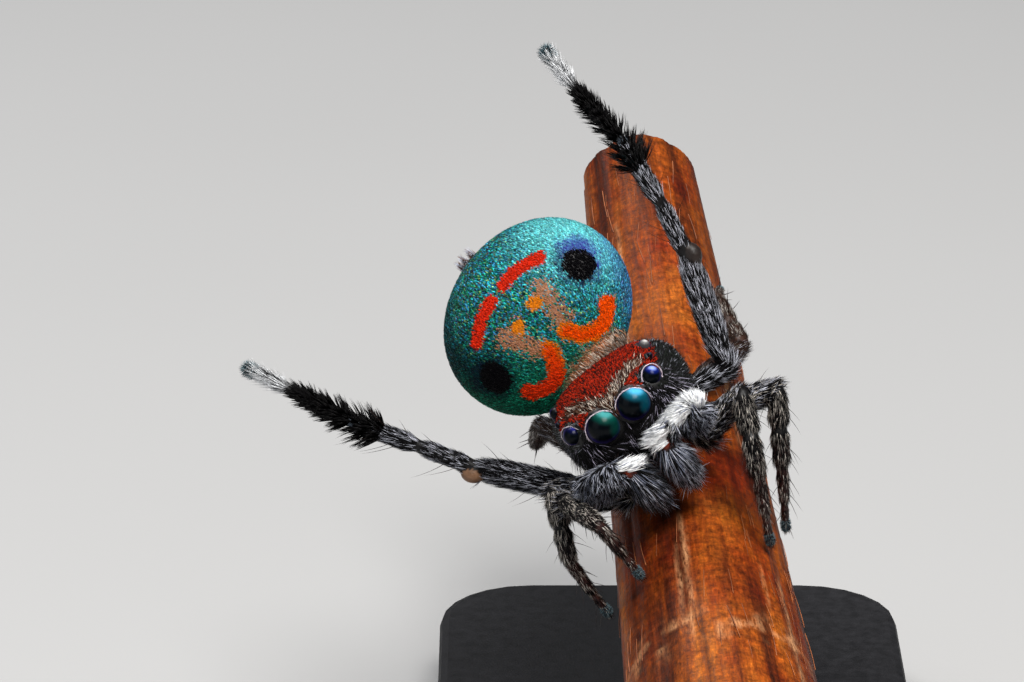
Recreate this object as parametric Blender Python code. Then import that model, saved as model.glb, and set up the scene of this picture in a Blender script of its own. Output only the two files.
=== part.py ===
"""A male peacock spider courting on a cut length of stem, at life size, on a plain display stand."""

import math
import random

import bmesh
import bpy
from mathutils import Matrix, Vector

# Scene and units
# Every size and place below is in millimetres, and each finished mesh is scaled to metres once.

MM = 0.001
GAP = 0.03  # between pieces that touch: the pieces are themselves only tenths of a millimetre thick
X = Vector((1, 0, 0))
Y = Vector((0, 1, 0))
Z = Vector((0, 0, 1))

for old in list(bpy.data.objects):
    bpy.data.objects.remove(old)


def turn(axis, degrees):
    return Matrix.Rotation(math.radians(degrees), 4, axis)


def polar(azimuth, elevation):
    """A unit vector from its heading in the floor plane and its height above it, in degrees."""
    a = math.radians(azimuth)
    e = math.radians(elevation)
    return Vector((math.cos(e) * math.cos(a), math.cos(e) * math.sin(a), math.sin(e)))


def mixed(a, b, share):
    return a + (b - a) * share


def along(knots, place):
    """The value at a place between knots (place, value, value ...), eased through them."""
    last = len(knots) - 1
    i = max(0, min(last - 1, sum(place > k[0] for k in knots) - 1))
    before, start, end, after = (knots[max(0, min(last, j))] for j in (i - 1, i, i + 1, i + 2))
    share = max(0.0, min(1.0, (place - start[0]) / (end[0] - start[0])))
    values = []
    for p, q, r, s in zip(before[1:], start[1:], end[1:], after[1:]):
        slope_in = (r - p) / 2
        slope_out = (s - q) / 2
        t2 = share * share
        t3 = t2 * share
        values.append(
            (2 * t3 - 3 * t2 + 1) * q
            + (t3 - 2 * t2 + share) * slope_in
            + (3 * t2 - 2 * t3) * r
            + (t3 - t2) * slope_out
        )
    return values


# Materials

FINISHES = {
    "cuticle": ((0.035, 0.028, 0.030), 0.45),
    "grey_hair": ((0.16, 0.15, 0.17), 0.75),
    "black_brush": ((0.015, 0.013, 0.015), 0.60),
    "white_hair": ((0.80, 0.80, 0.84), 0.65),
    "blue_scales": ((0.03, 0.38, 0.42), 0.35),
    "eye_lens": ((0.01, 0.06, 0.09), 0.05),
    "stem_bark": ((0.42, 0.15, 0.04), 0.50),
    "stand_black": ((0.02, 0.02, 0.022), 0.30),
    "stand_steel": ((0.55, 0.56, 0.58), 0.25),
}


def finish(name):
    material = bpy.data.materials.get(name)
    if material:
        return material
    material = bpy.data.materials.new(name)
    material.use_nodes = True
    shader = material.node_tree.nodes["Principled BSDF"]
    colour, roughness = FINISHES[name]
    shader.inputs["Base Color"].default_value = (*colour, 1)
    shader.inputs["Roughness"].default_value = roughness
    shader.inputs["Metallic"].default_value = 1.0 if name == "stand_steel" else 0.0
    return material


# Mesh helpers


def solid(name, rings, tips=(None, None)):
    """A closed body through rings of equal count, ended by a point or by a flat face."""
    bm = bmesh.new()
    rows = [[bm.verts.new(p) for p in ring] for ring in rings]
    count = len(rows[0])
    for low, high in zip(rows, rows[1:]):
        for i in range(count):
            j = (i + 1) % count
            bm.faces.new((low[i], low[j], high[j], high[i]))
    for row, tip in zip((rows[0][::-1], rows[-1]), tips):
        if tip is None:
            bm.faces.new(row)
            continue
        point = bm.verts.new(tip)
        for i in range(count):
            bm.faces.new((row[i], row[(i + 1) % count], point))
    bmesh.ops.recalc_face_normals(bm, faces=bm.faces)
    mesh = bpy.data.meshes.new(name)
    bm.to_mesh(mesh)
    bm.free()
    body = bpy.data.objects.new(name, mesh)
    bpy.context.scene.collection.objects.link(body)
    return body


def moved(body, matrix):
    body.data.transform(matrix)
    return body


def grown(body, by):
    """Moves each vertex out along its normal, for a cutter that keeps a gap."""
    bm = bmesh.new()
    bm.from_mesh(body.data)
    bm.normal_update()
    for v in bm.verts:
        v.co += v.normal * by
    bm.to_mesh(body.data)
    bm.free()
    return body


def largest_only(mesh):
    """Keeps the biggest closed surface, so that a sealed hollow or a loose scrap goes."""
    bm = bmesh.new()
    bm.from_mesh(mesh)
    left = set(bm.verts)
    islands = []
    while left:
        island = {left.pop()}
        edge_of_island = list(island)
        while edge_of_island:
            v = edge_of_island.pop()
            for e in v.link_edges:
                other = e.other_vert(v)
                if other in left:
                    left.discard(other)
                    island.add(other)
                    edge_of_island.append(other)
        islands.append(island)

    def spread(island):
        points = [v.co for v in island]
        return sum(max(p[k] for p in points) - min(p[k] for p in points) for k in range(3))

    keep = max(islands, key=spread)
    bmesh.ops.delete(bm, geom=[v for v in bm.verts if v not in keep], context="VERTS")
    bm.to_mesh(mesh)
    bm.free()


def combined(body, others, operation, solver="EXACT"):
    """Joins others to body, or cuts them from it, and removes them."""
    if not others:
        return body
    group = bpy.data.collections.new("operands")
    bpy.context.scene.collection.children.link(group)
    for o in others:
        bpy.context.scene.collection.objects.unlink(o)
        group.objects.link(o)
    modifier = body.modifiers.new("combine", "BOOLEAN")
    modifier.operation = operation
    modifier.operand_type = "COLLECTION"
    modifier.collection = group
    modifier.solver = solver
    graph = bpy.context.evaluated_depsgraph_get()
    result = bpy.data.meshes.new_from_object(body.evaluated_get(graph))
    body.modifiers.clear()
    body.data = result
    for o in others:
        bpy.data.objects.remove(o)
    bpy.data.collections.remove(group)
    largest_only(body.data)
    return body


def node(body, name, material, smooth_angle=40):
    """Names a finished body, gives it its finish, and scales it to metres."""
    body.name = name
    body.data.name = name
    body.data.materials.clear()
    body.data.materials.append(finish(material))
    body.data.transform(Matrix.Scale(MM, 4))
    body.data.shade_smooth()
    body.data.set_sharp_from_angle(angle=math.radians(smooth_angle))
    return body


def circle(centre, side, other, radius, count):
    """Points of a ring about centre in the plane of two unit vectors."""
    turns = (2 * math.pi * i / count for i in range(count))
    return [centre + side * (radius * math.cos(t)) + other * (radius * math.sin(t)) for t in turns]


def headings(centres):
    """The path's direction at each centre, from its neighbours."""
    last = len(centres) - 1
    return [(centres[min(i + 1, last)] - centres[max(i - 1, 0)]).normalized() for i in range(last + 1)]


def tube(name, centres, radii, count, tips=(None, None), tangents=None):
    """A closed tube through centres, its rings square to the path and untwisted."""
    tangents = tangents or headings(centres)
    side = tangents[0].orthogonal().normalized()
    rings = []
    for centre, tangent, radius in zip(centres, tangents, radii):
        side = (side - tangent * side.dot(tangent)).normalized()
        rings.append(circle(centre, side, tangent.cross(side), radius, count))
    return solid(name, rings, tips)


# Locks of hair and single spines
# A lock is flat and four sided, a spine three sided, and both are rooted well inside what they grow from.

LOCK_SHAPE = ((0.0, 0.80), (0.45, 1.00), (0.78, 0.60))  # place along it, share of its full width
SPINE_SHAPE = ((0.0, 1.0), (0.5, 0.7))
SPINE_THICKNESS = 0.034
SPINE_LEAN = 52  # degrees from the leg's line
LOCK_CURVE = 0.20  # how far the tip bends towards the lie of the coat, as a share of the length
ROOT_DEPTH = 0.5  # how deep the roots lie, as a share of the radius of what they grow from


def strand(root, lie, bend, length, width, thickness, shape, corners):
    """A tapered strand that leaves its root along lie and curves towards bend."""
    across = lie.cross(bend).normalized()
    up = across.cross(lie).normalized()
    rings = []
    for share, size in shape:
        centre = root + lie * (length * share) + bend * (length * LOCK_CURVE * share * share)
        half_width = size * width / 2
        half_thickness = size * thickness / 2
        ring = []
        for i in range(corners):
            t = 2 * math.pi * i / corners
            ring.append(centre + across * (math.cos(t) * half_width) + up * (math.sin(t) * half_thickness))
        rings.append(ring)
    tip = root + lie * length + bend * (length * LOCK_CURVE)
    return solid("strand", rings, (None, tip))


def locks_along(start, end, radius, rows, row_count, length, lean, width, thickness, chance, faces=None):
    """Rows of locks round a line, leaning towards its end, and only on the side that faces points to."""
    line = (end - start).normalized()
    side = line.orthogonal().normalized()
    other = line.cross(side)
    tilt = math.radians(lean)
    found = []
    for i in range(rows):
        for j in range(row_count):
            share = (i + 0.5 + chance.uniform(-0.2, 0.2)) / rows
            t = 2 * math.pi * (j + 0.5 * (i % 2) + chance.uniform(-0.15, 0.15)) / row_count
            out = side * math.cos(t) + other * math.sin(t)
            size = length * chance.uniform(0.85, 1.15)
            if faces and out.dot(faces) < 0:
                continue
            lie = line * math.cos(tilt) + out * math.sin(tilt)
            bend = (line - lie * line.dot(lie)).normalized()
            root = mixed(start, end, share) + out * (radius * ROOT_DEPTH)
            found.append(strand(root, lie, bend, size, width, thickness, LOCK_SHAPE, 4))
    return found


def spines_along(start, end, radius, shares, angles, length, faces):
    """Single spines at named places along a line and angles round it, none turned against faces."""
    line = (end - start).normalized()
    side = line.orthogonal().normalized()
    other = line.cross(side)
    tilt = math.radians(SPINE_LEAN)
    size = length + radius * ROOT_DEPTH
    found = []
    for share, degrees in zip(shares, angles):
        t = math.radians(degrees)
        out = side * math.cos(t) + other * math.sin(t)
        if faces and out.dot(faces) < 0:
            continue
        lie = line * math.cos(tilt) + out * math.sin(tilt)
        bend = (line - lie * line.dot(lie)).normalized()
        root = mixed(start, end, share) + out * (radius * ROOT_DEPTH)
        found.append(strand(root, lie, bend, size, SPINE_THICKNESS, SPINE_THICKNESS, SPINE_SHAPE, 3))
    return found


# Placing the body
# The spider's own frame has +X to its left, +Y to its rear and +Z up, from midway between its large eyes.

BODY_ORIGIN = Vector((-0.80, -2.20, 6.00))
BODY_YAW, BODY_PITCH, BODY_ROLL = 8.6, 2.8, -37.8
BODY = Matrix.Translation(BODY_ORIGIN) @ turn("Z", BODY_YAW) @ turn("X", BODY_PITCH) @ turn("Y", BODY_ROLL)
SIDES = {"left": 1, "right": -1}


def mirrored(point, side):
    return Vector((point[0] * side, point[1], point[2]))


# Head and thorax
# Rows go from the face to the waist: place back, half width, top, bottom, and height of the widest line.

CARAPACE_ROWS = (
    (-0.04, 0.40, 0.08, -0.30, -0.12),
    (0.03, 0.62, 0.20, -0.42, -0.16),
    (0.18, 0.74, 0.27, -0.50, -0.24),
    (0.42, 0.81, 0.30, -0.86, -0.32),
    (0.70, 0.86, 0.31, -0.95, -0.38),
    (0.95, 0.90, 0.29, -0.96, -0.42),
    (1.25, 0.90, 0.16, -0.95, -0.45),
    (1.55, 0.80, -0.10, -0.92, -0.50),
    (1.82, 0.58, -0.38, -0.86, -0.58),
    (2.00, 0.26, -0.52, -0.76, -0.64),
)
CARAPACE_RINGS = 15
CARAPACE_POINTS = 28
CROWN_SQUARENESS = 2.7
BELLY_SQUARENESS = 2.3


def carapace_ring(back):
    half_width, top, bottom, waist = along(CARAPACE_ROWS, back)
    ring = []
    for i in range(CARAPACE_POINTS):
        t = 2 * math.pi * i / CARAPACE_POINTS
        c, s = math.cos(t), math.sin(t)
        power = 2 / (CROWN_SQUARENESS if s > 0 else BELLY_SQUARENESS)
        reach = top - waist if s > 0 else waist - bottom
        across = half_width * math.copysign(abs(c) ** power, c)
        ring.append(Vector((across, back, waist + reach * math.copysign(abs(s) ** power, s))))
    return ring


def carapace():
    front, rear = CARAPACE_ROWS[0][0], CARAPACE_ROWS[-1][0]
    rings = [carapace_ring(mixed(front, rear, i / CARAPACE_RINGS)) for i in range(CARAPACE_RINGS + 1)]
    return moved(solid("carapace", rings), BODY)


# Eyes
# Four face forward in a row, and two pairs lie behind them along the crown's edge.
# Name: centre to the left, back, up; lens radius; aim outwards and upwards in degrees; rings; points.

EYES = {
    "large": ((0.226, 0.05, 0.0), 0.212, 0, 0, 6, 20),
    "side": ((0.585, 0.15, 0.09), 0.118, 32, 6, 5, 16),
    "small": ((0.685, 0.50, 0.15), 0.038, 70, 15, 3, 8),
    "rear": ((0.675, 0.86, 0.14), 0.092, 80, 20, 4, 12),
}
SOCKET_CLEAR = 1.6 * GAP
LENS_DEPTH = 0.55  # how far the lens reaches behind its widest ring, as a share of its radius


def lens(kind, side, grow=0.0):
    centre, radius, outwards, upwards, ring_count, points = EYES[kind]
    radius += grow
    rings = [circle(Z * (-LENS_DEPTH * radius), X, Y, radius * 0.8, points)]
    for i in range(ring_count):
        t = math.pi / 2 * i / ring_count
        rings.append(circle(Z * (radius * math.sin(t)), X, Y, radius * math.cos(t), points))
    body = solid("lens", rings, (None, Z * radius))
    aim = turn("Z", outwards * side) @ turn("X", 90 - upwards)
    return moved(body, BODY @ Matrix.Translation(mirrored(centre, side)) @ aim)


# Jaws and feelers

JAW_ROWS = ((0.0, 0.15), (0.2, 0.19), (0.55, 0.185), (0.85, 0.15), (1.0, 0.09))
JAW_TOP = Vector((0.215, 0.17, -0.36))
JAW_FOOT = Vector((0.19, 0.14, -1.10))
PALP_ROWS = (
    ((0.48, 0.26, -0.82), 0.085),
    ((0.66, 0.02, -0.67), 0.095),
    ((0.80, -0.20, -0.46), 0.105),
    ((0.76, -0.30, -0.33), 0.110),
    ((0.60, -0.36, -0.29), 0.110),
    ((0.40, -0.41, -0.32), 0.110),
    ((0.28, -0.42, -0.42), 0.120),
    ((0.250, -0.40, -0.58), 0.180),
    ((0.243, -0.37, -0.75), 0.205),
    ((0.235, -0.33, -0.92), 0.170),
    ((0.225, -0.29, -1.05), 0.090),
)
PALP_JOINT = 6  # the row where the arm ends and the hairy tip begins
# Locks: first and last row, radius of the core, rows, locks in a row, length, lean, width, thickness.
PALP_ARM_LOCKS = (2, 5, 0.14, 4, 8, 0.19, 26, 0.085, 0.035)
PALP_TIP_LOCKS = (6, 9, 0.24, 3, 9, 0.21, 20, 0.095, 0.035)
PALP_CORE = 0.84  # the tip's core, as a share of its outline with the hair


def body_tube(name, rows, side, count, tips=(False, True)):
    """A tube in the spider's frame through rows of (place, radius), with rounded ends where asked."""
    centres = [BODY @ mirrored(p, side) for p, _ in rows]
    radii = [r for _, r in rows]
    ends = []
    for wanted, end, inner, radius in ((tips[0], 0, 1, radii[0]), (tips[1], -1, -2, radii[-1])):
        outwards = (centres[end] - centres[inner]).normalized()
        ends.append(centres[end] + outwards * (radius * 0.5) if wanted else None)
    return tube(name, centres, radii, count, tuple(ends))


def palp_part(side, first, last, tips):
    """The feeler from one row to another, its ends half a gap short of an inner joint."""
    centres = [BODY @ mirrored(p, side) for p, _ in PALP_ROWS]
    tangents = headings(centres)[first : last + 1]
    centres = centres[first : last + 1]
    core = PALP_CORE if first > 0 else 1.0
    radii = [r * core for _, r in PALP_ROWS[first : last + 1]]
    if first > 0:
        centres[0] += tangents[0] * (GAP / 2)
    else:
        centres[-1] -= tangents[-1] * (GAP / 2)
    end = centres[-1] + tangents[-1] * (radii[-1] * 0.5) if tips else None
    return tube("palp", centres, radii, 12, (None, end), tangents)


def palp_locks(side, first, last, radius, rows, row_count, length, lean, width, thickness):
    """Locks on the side of the feeler that faces forward and away from the middle."""
    start, end = (BODY @ mirrored(PALP_ROWS[i][0], side) for i in (first, last))
    forward = BODY.to_3x3() @ Vector((0.45 * side, -1, 0.25))
    chance = random.Random(first)
    return locks_along(
        start, end, radius, rows, row_count, length, lean, width, thickness, chance, forward.normalized()
    )


def jaw(side):
    rows = [(mixed(JAW_TOP, JAW_FOOT, share), radius) for share, radius in JAW_ROWS]
    return body_tube("jaw", rows, side, 12, (True, True))


# Abdomen
# Its own frame has +Y from the waist to the spinnerets and +Z out of its patterned back.

ABDOMEN_CENTRE = Vector((-0.27, 2.37, 0.62))
ABDOMEN_LIFT, ABDOMEN_WAG = 63.0, 16.0
ABDOMEN = BODY @ Matrix.Translation(ABDOMEN_CENTRE) @ turn("X", ABDOMEN_LIFT) @ turn("Z", ABDOMEN_WAG)
ABDOMEN_HALF_WIDTH, ABDOMEN_HALF_LENGTH = 1.27, 1.08
ABDOMEN_BACK, ABDOMEN_BELLY = 0.76, 0.66
ABDOMEN_RINGS, ABDOMEN_POINTS = 16, 30
ABDOMEN_SQUARENESS = 2.05


def abdomen():
    rings = []
    power = 2 / ABDOMEN_SQUARENESS
    for i in range(1, ABDOMEN_RINGS):
        t = math.pi * i / ABDOMEN_RINGS
        place = -ABDOMEN_HALF_LENGTH * math.copysign(abs(math.cos(t)) ** power, math.cos(t))
        size = math.sin(t) ** power
        ring = []
        for j in range(ABDOMEN_POINTS):
            a = 2 * math.pi * j / ABDOMEN_POINTS
            depth = ABDOMEN_BACK if math.sin(a) > 0 else ABDOMEN_BELLY
            ring.append(Vector((ABDOMEN_HALF_WIDTH * size * math.cos(a), place, depth * size * math.sin(a))))
        rings.append(ring)
    ends = (Vector((0, -ABDOMEN_HALF_LENGTH, 0)), Vector((0, ABDOMEN_HALF_LENGTH, 0)))
    return moved(solid("abdomen", rings, ends), ABDOMEN)


WAIST_START = Vector((0.0, 1.86, -0.62))
WAIST_MIDDLE = Vector((-0.02, 2.14, -0.56))
WAIST_END = Vector((-0.10, 2.22, -0.10))
WAIST_RADIUS = 0.15


def waist():
    rows = [(WAIST_START, WAIST_RADIUS), (WAIST_MIDDLE, WAIST_RADIUS * 0.9), (WAIST_END, WAIST_RADIUS * 1.2)]
    return body_tube("waist", rows, 1, 12, (False, False))


SPINNERET_LENGTH, SPINNERET_RADIUS = 0.30, 0.075
SPINNERET_ROOT = Vector((0.0, 0.90, -0.16))
SPINNERET_OFFSETS = ((-0.075, -0.04), (0.075, -0.04), (0.0, 0.06))


def spinnerets():
    bodies = []
    for across, up in SPINNERET_OFFSETS:
        start = SPINNERET_ROOT + Vector((across, 0, up))
        end = start + Vector((across * 0.5, SPINNERET_LENGTH, up * 0.5))
        places = [ABDOMEN @ mixed(start, end, share) for share in (0, 0.6, 1)]
        sizes = [SPINNERET_RADIUS * s for s in (1.0, 0.9, 0.55)]
        bodies.append(tube("spinneret", places, sizes, 8))
    return combined(bodies[0], bodies[1:], "UNION")


# The stem
# It slopes down towards the spider's front, and thickens that way.

STEM_POINT = Vector((0.09, -0.35, 4.34))  # on the axis, under the thorax
STEM_HEADING, STEM_SLOPE = -85.2, -19.8
STEM_AXIS = polar(STEM_HEADING, STEM_SLOPE)
STEM_UP = (Z - STEM_AXIS * Z.dot(STEM_AXIS)).normalized()
STEM_SIDE = STEM_UP.cross(STEM_AXIS)
STEM_BACK, STEM_FRONT = -6.2, 4.9
STEM_THICK_ROWS = ((STEM_BACK, 0.74), (-2.0, 0.90), (1.0, 1.01), (STEM_FRONT, 1.19))
STEM_RINGS, STEM_POINTS = 12, 28
STEM_BEVEL = 0.06


def stem_radius(place, angle=0.0):
    """The stem's radius at a place along it, a little lobed round its girth."""
    (radius,) = along(STEM_THICK_ROWS, place)
    return radius * (1 + 0.018 * math.cos(3 * angle + 0.6) + 0.010 * math.cos(5 * angle))


def stem_direction(angle):
    """Out of the stem's axis, at an angle in radians from its top towards its +X side."""
    return STEM_UP * math.cos(angle) + STEM_SIDE * math.sin(angle)


def stem(grow=0.0):
    places = [mixed(STEM_BACK, STEM_FRONT, i / STEM_RINGS) for i in range(STEM_RINGS + 1)]
    places = [places[0], places[0] + STEM_BEVEL, *places[1:-1], places[-1] - STEM_BEVEL, places[-1]]
    shrink = [STEM_BEVEL, *[0.0] * (len(places) - 2), STEM_BEVEL]
    rings = []
    for place, less in zip(places, shrink):
        centre = STEM_POINT + STEM_AXIS * place
        ring = []
        for i in range(STEM_POINTS):
            angle = 2 * math.pi * i / STEM_POINTS
            ring.append(centre + stem_direction(angle) * (stem_radius(place, angle) - less + grow))
        rings.append(ring)
    return solid("stem", rings)


# Legs
# Pair: root and trochanter in the spider's frame.

LEG_ROOTS = {
    1: ((0.42, 0.55, -0.78), (0.59, 0.43, -1.10)),
    2: ((0.46, 0.88, -0.80), (0.78, 0.78, -1.06)),
    3: ((0.50, 1.20, -0.80), (0.98, 1.12, -0.96)),
    4: ((0.40, 1.52, -0.78), (0.76, 1.62, -1.00)),
}
# How far a turned leg's trochanter swings out of its usual place.
LEG_SWINGS = {
    ("left", 3): Vector((0.24, 0.02, 0.06)),
    ("right", 3): Vector((0.02, 0.05, -0.15)),
    ("right", 2): Vector((-0.08, 0.06, 0.0)),
}
# Femur, patella, tibia, metatarsus and tarsus.
LEG_LENGTHS = {
    1: (0.93, 0.47, 0.54, 0.54, 0.38),
    2: (0.88, 0.45, 0.50, 0.50, 0.36),
    3: (1.46, 0.66, 0.90, 0.82, 0.66),
    4: (1.02, 0.42, 0.68, 0.62, 0.38),
}
# Radii at the coxa, trochanter, femur belly, knee, patella, tibia, metatarsus, tarsus and tip.
LEG_RADII = {
    1: (0.13, 0.13, 0.150, 0.125, 0.150, 0.130, 0.090, 0.062, 0.068),
    2: (0.13, 0.13, 0.155, 0.125, 0.145, 0.125, 0.088, 0.060, 0.066),
    3: (0.14, 0.14, 0.190, 0.130, 0.125, 0.125, 0.085, 0.065, 0.070),
    4: (0.13, 0.12, 0.150, 0.115, 0.130, 0.120, 0.085, 0.060, 0.062),
}
# A raised leg's segments, femur to tarsus, each as heading and height in degrees.
RAISED = {
    ("left", 3): ((143, 65), (160, 62), (161, 56), (168, 47), (163, 50)),
    ("right", 3): ((-178, 13), (-179, 23), (179, 21), (178, 28), (170, 25)),
}
# A standing leg's femur aim, its foot's place along the stem and angle round it, and the aim of its bend.
STANDING = {
    ("left", 1): ((-49, 50), 2.00, 41, (-90, 20)),
    ("left", 2): ((-16, 27), 1.30, 67, (-90, 20)),
    ("right", 1): ((-146, 8), 2.45, -46, (-75, 14)),
    ("right", 2): ((-145, 8), 2.15, -93, (-110, 0)),
    ("left", 4): ((52, 10), -3.10, 50, (-168, 52)),
    ("right", 4): ((130, 9), -1.80, -84, (149, -50)),
}
LEG_POINTS = 10


def bent_link(start, end, first, second, away):
    """The elbow of two links from start to end, on the side that away points to."""
    line = end - start
    reach = min(line.length, (first + second) * 0.995)
    heading = line.normalized()
    share = (first * first - second * second + reach * reach) / (2 * reach)
    height = math.sqrt(max(first * first - share * share, 0.0))
    side = (away - heading * away.dot(heading)).normalized()
    return start + heading * share + side * height


def leg_joints(side_name, pair):
    """Root, trochanter, knee, patella end, tibia end, metatarsus end and tip."""
    side = SIDES[side_name]
    root, trochanter = (Vector(p) for p in LEG_ROOTS[pair])
    trochanter = trochanter + LEG_SWINGS.get((side_name, pair), Vector())
    femur, patella, tibia, metatarsus, tarsus = LEG_LENGTHS[pair]
    joints = [BODY @ mirrored(root, side), BODY @ mirrored(trochanter, side)]
    if (side_name, pair) in RAISED:
        for length, angles in zip(LEG_LENGTHS[pair], RAISED[side_name, pair]):
            joints.append(joints[-1] + polar(*angles) * length)
        return joints
    femur_aim, place, degrees, bend_aim = STANDING[side_name, pair]
    knee = joints[1] + polar(*femur_aim) * femur
    angle = math.radians(degrees)
    stand_off = stem_radius(place, angle) + LEG_RADII[pair][-1] + GAP
    foot = STEM_POINT + STEM_AXIS * place + stem_direction(angle) * stand_off
    bend = polar(*bend_aim)
    ankle = bent_link(knee, foot, patella + tibia, metatarsus + tarsus, bend)
    shin = mixed(knee, ankle, patella / (patella + tibia)) + bend * 0.03
    instep = mixed(ankle, foot, metatarsus / (metatarsus + tarsus)) + bend * 0.02
    return [*joints, knee, shin, ankle, instep, foot]


def leg_rows(joints, radii):
    """Rows of (place, direction, radius, joint number or None) down the leg, its corners rounded."""
    coxa, trochanter, belly, knee, patella, tibia, metatarsus, tarsus, tip = radii
    starts = (coxa, trochanter, knee, patella * 0.85, metatarsus * 1.15, tarsus * 1.1)
    bellies = (coxa, belly, patella, tibia, metatarsus, tarsus)
    ends = (trochanter, knee * 1.05, patella * 0.85, metatarsus * 1.2, tarsus * 1.1, tip)
    lines = [(b - a).normalized() for a, b in zip(joints, joints[1:])]
    rows = [(joints[0], lines[0], coxa, 0)]
    for i, line in enumerate(lines):
        length = (joints[i + 1] - joints[i]).length
        clear = [0.15 * length, 0.15 * length]
        for end, other, size in ((0, i - 1, starts[i]), (1, i + 1, ends[i])):
            if 0 <= other < len(lines):
                half_bend = line.angle(lines[other]) / 2
                clear[end] = max(clear[end], 1.15 * size * math.tan(half_bend) + 0.02)
        near, far = clear[0], length - clear[1]
        rows.append((joints[i] + line * near, line, mixed(starts[i], bellies[i], 0.6), None))
        if i > 0:
            rows.append((joints[i] + line * ((near + far) / 2), line, bellies[i], None))
        rows.append((joints[i] + line * far, line, mixed(bellies[i], ends[i], 0.7), None))
        corner = joints[i + 1]
        heading = line
        if i + 1 < len(lines):
            heading = (line + lines[i + 1]).normalized()
        rows.append((corner, heading, ends[i], i + 1))
    return rows


LEG_NODES = (("femur", 0, 2), ("tibia", 2, 4), ("tarsus", 4, 6))


def leg_part(rows, first, last):
    """The tube between two joints, its cut faces half a gap short of each joint."""
    start = next(i for i, row in enumerate(rows) if row[3] == first)
    end = next(i for i, row in enumerate(rows) if row[3] == last)
    centres = [row[0].copy() for row in rows[start : end + 1]]
    tangents = [row[1] for row in rows[start : end + 1]]
    radii = [row[2] for row in rows[start : end + 1]]
    tips = (None, None)
    if first > 0:
        centres[0] += tangents[0] * (GAP / 2)
    if end + 1 < len(rows):
        centres[-1] -= tangents[-1] * (GAP / 2)
    else:
        tips = (None, centres[-1] + tangents[-1] * (radii[-1] * 0.7))
    return tube("leg", centres, radii, LEG_POINTS, tips, tangents)


# Spines of each node: segment, shares along it, angles round it in degrees.
SPINE_LENGTH = {1: 0.20, 2: 0.20, 3: 0.30, 4: 0.22}
LEG_SPINES = {
    "femur": (1, (0.30, 0.48, 0.62), (20, 110, 200)),
    "tibia": (3, (0.20, 0.40, 0.55, 0.66), (40, 220, 130, 310)),
    "tarsus": (4, (0.30, 0.75, 0.78), (60, 190, 320)),
}
# The third pair's metatarsus is a dense black brush and its tarsus a white tuft.
# Segment, share of it that the brush covers, rows, locks in a row, length, lean, width, thickness.
BRUSHES = (
    (4, 1.0, 6, 6, 0.20, 44, 0.085, 0.035),
    (5, 0.7, 3, 6, 0.19, 22, 0.070, 0.035),
)
LEG_BELLY = {1: 2, 3: 5, 4: 6, 5: 7}  # segment to its place in LEG_RADII


def leg_strands(side_name, pair, part_name, joints):
    """Spines of one leg node, or the third pair's brushes."""
    found = []
    if (pair, part_name) == (3, "tarsus"):
        chance = random.Random(pair * SIDES[side_name])
        for segment, covered, *numbers in BRUSHES:
            start = joints[segment]
            end = mixed(start, joints[segment + 1], covered)
            found += locks_along(start, end, LEG_RADII[pair][LEG_BELLY[segment]], *numbers, chance)
        return found
    segment, shares, angles = LEG_SPINES[part_name]
    start, end = joints[segment], joints[segment + 1]
    faces = None
    if (side_name, pair) in STANDING:
        from_stem = end - STEM_POINT
        faces = (from_stem - STEM_AXIS * from_stem.dot(STEM_AXIS)).normalized()
    radius = LEG_RADII[pair][LEG_BELLY[segment]]
    return spines_along(start, end, radius, shares, angles, SPINE_LENGTH[pair], faces)


# Stand
# A flat base and two short rods, each cut to the stem's round underside.

BASE_WIDTH, BASE_LENGTH, BASE_HEIGHT = 6.0, 9.4, 1.0
BASE_CORNER, BASE_BEVEL = 1.2, 0.12
ROD_RADIUS = 0.36
ROD_SINK = 0.35
ROD_PLACES = {"front": 2.4, "back": -3.6}


def base():
    bm = bmesh.new()
    corner_steps = 6
    half_x, half_y = BASE_WIDTH / 2 - BASE_CORNER, BASE_LENGTH / 2 - BASE_CORNER
    outline = []
    for quarter, (sx, sy) in enumerate(((1, 1), (-1, 1), (-1, -1), (1, -1))):
        for i in range(corner_steps + 1):
            a = math.pi / 2 * (quarter + i / corner_steps)
            outline.append((sx * half_x + BASE_CORNER * math.cos(a), sy * half_y + BASE_CORNER * math.sin(a)))
    face = bm.faces.new([bm.verts.new((px, py, 0)) for px, py in outline])
    top = bmesh.ops.extrude_face_region(bm, geom=[face])
    raised = [g for g in top["geom"] if isinstance(g, bmesh.types.BMVert)]
    bmesh.ops.translate(bm, vec=Z * BASE_HEIGHT, verts=raised)
    bmesh.ops.recalc_face_normals(bm, faces=bm.faces)
    rim = [e for e in bm.edges if all(v.co.z > BASE_HEIGHT / 2 for v in e.verts)]
    bmesh.ops.bevel(bm, geom=rim, offset=BASE_BEVEL, segments=2, affect="EDGES", profile=0.5)
    mesh = bpy.data.meshes.new("base")
    bm.to_mesh(mesh)
    bm.free()
    body = bpy.data.objects.new("base", mesh)
    bpy.context.scene.collection.objects.link(body)
    return body


def rod(place, grow=0.0):
    """An upright rod from inside the base to the stem's axis."""
    top = STEM_POINT + STEM_AXIS * place
    bottom = BASE_HEIGHT - ROD_SINK - grow
    centres = [Vector((top.x, top.y, bottom)), top]
    return tube("rod", centres, [ROD_RADIUS + grow] * 2, 16)


# Building the nodes

for pair in LEG_ROOTS:
    for side_name in SIDES:
        joints = leg_joints(side_name, pair)
        rows = leg_rows(joints, LEG_RADII[pair])
        for part_name, first, last in LEG_NODES:
            body = leg_part(rows, first, last)
            if part_name == "femur":
                body = combined(body, [grown(carapace(), GAP)], "DIFFERENCE")
            body = combined(body, leg_strands(side_name, pair, part_name, joints), "UNION")
            coat = "black_brush" if (pair, part_name) == (3, "tarsus") else "grey_hair"
            node(body, f"leg{pair}_{side_name}_{part_name}", coat)

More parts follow.
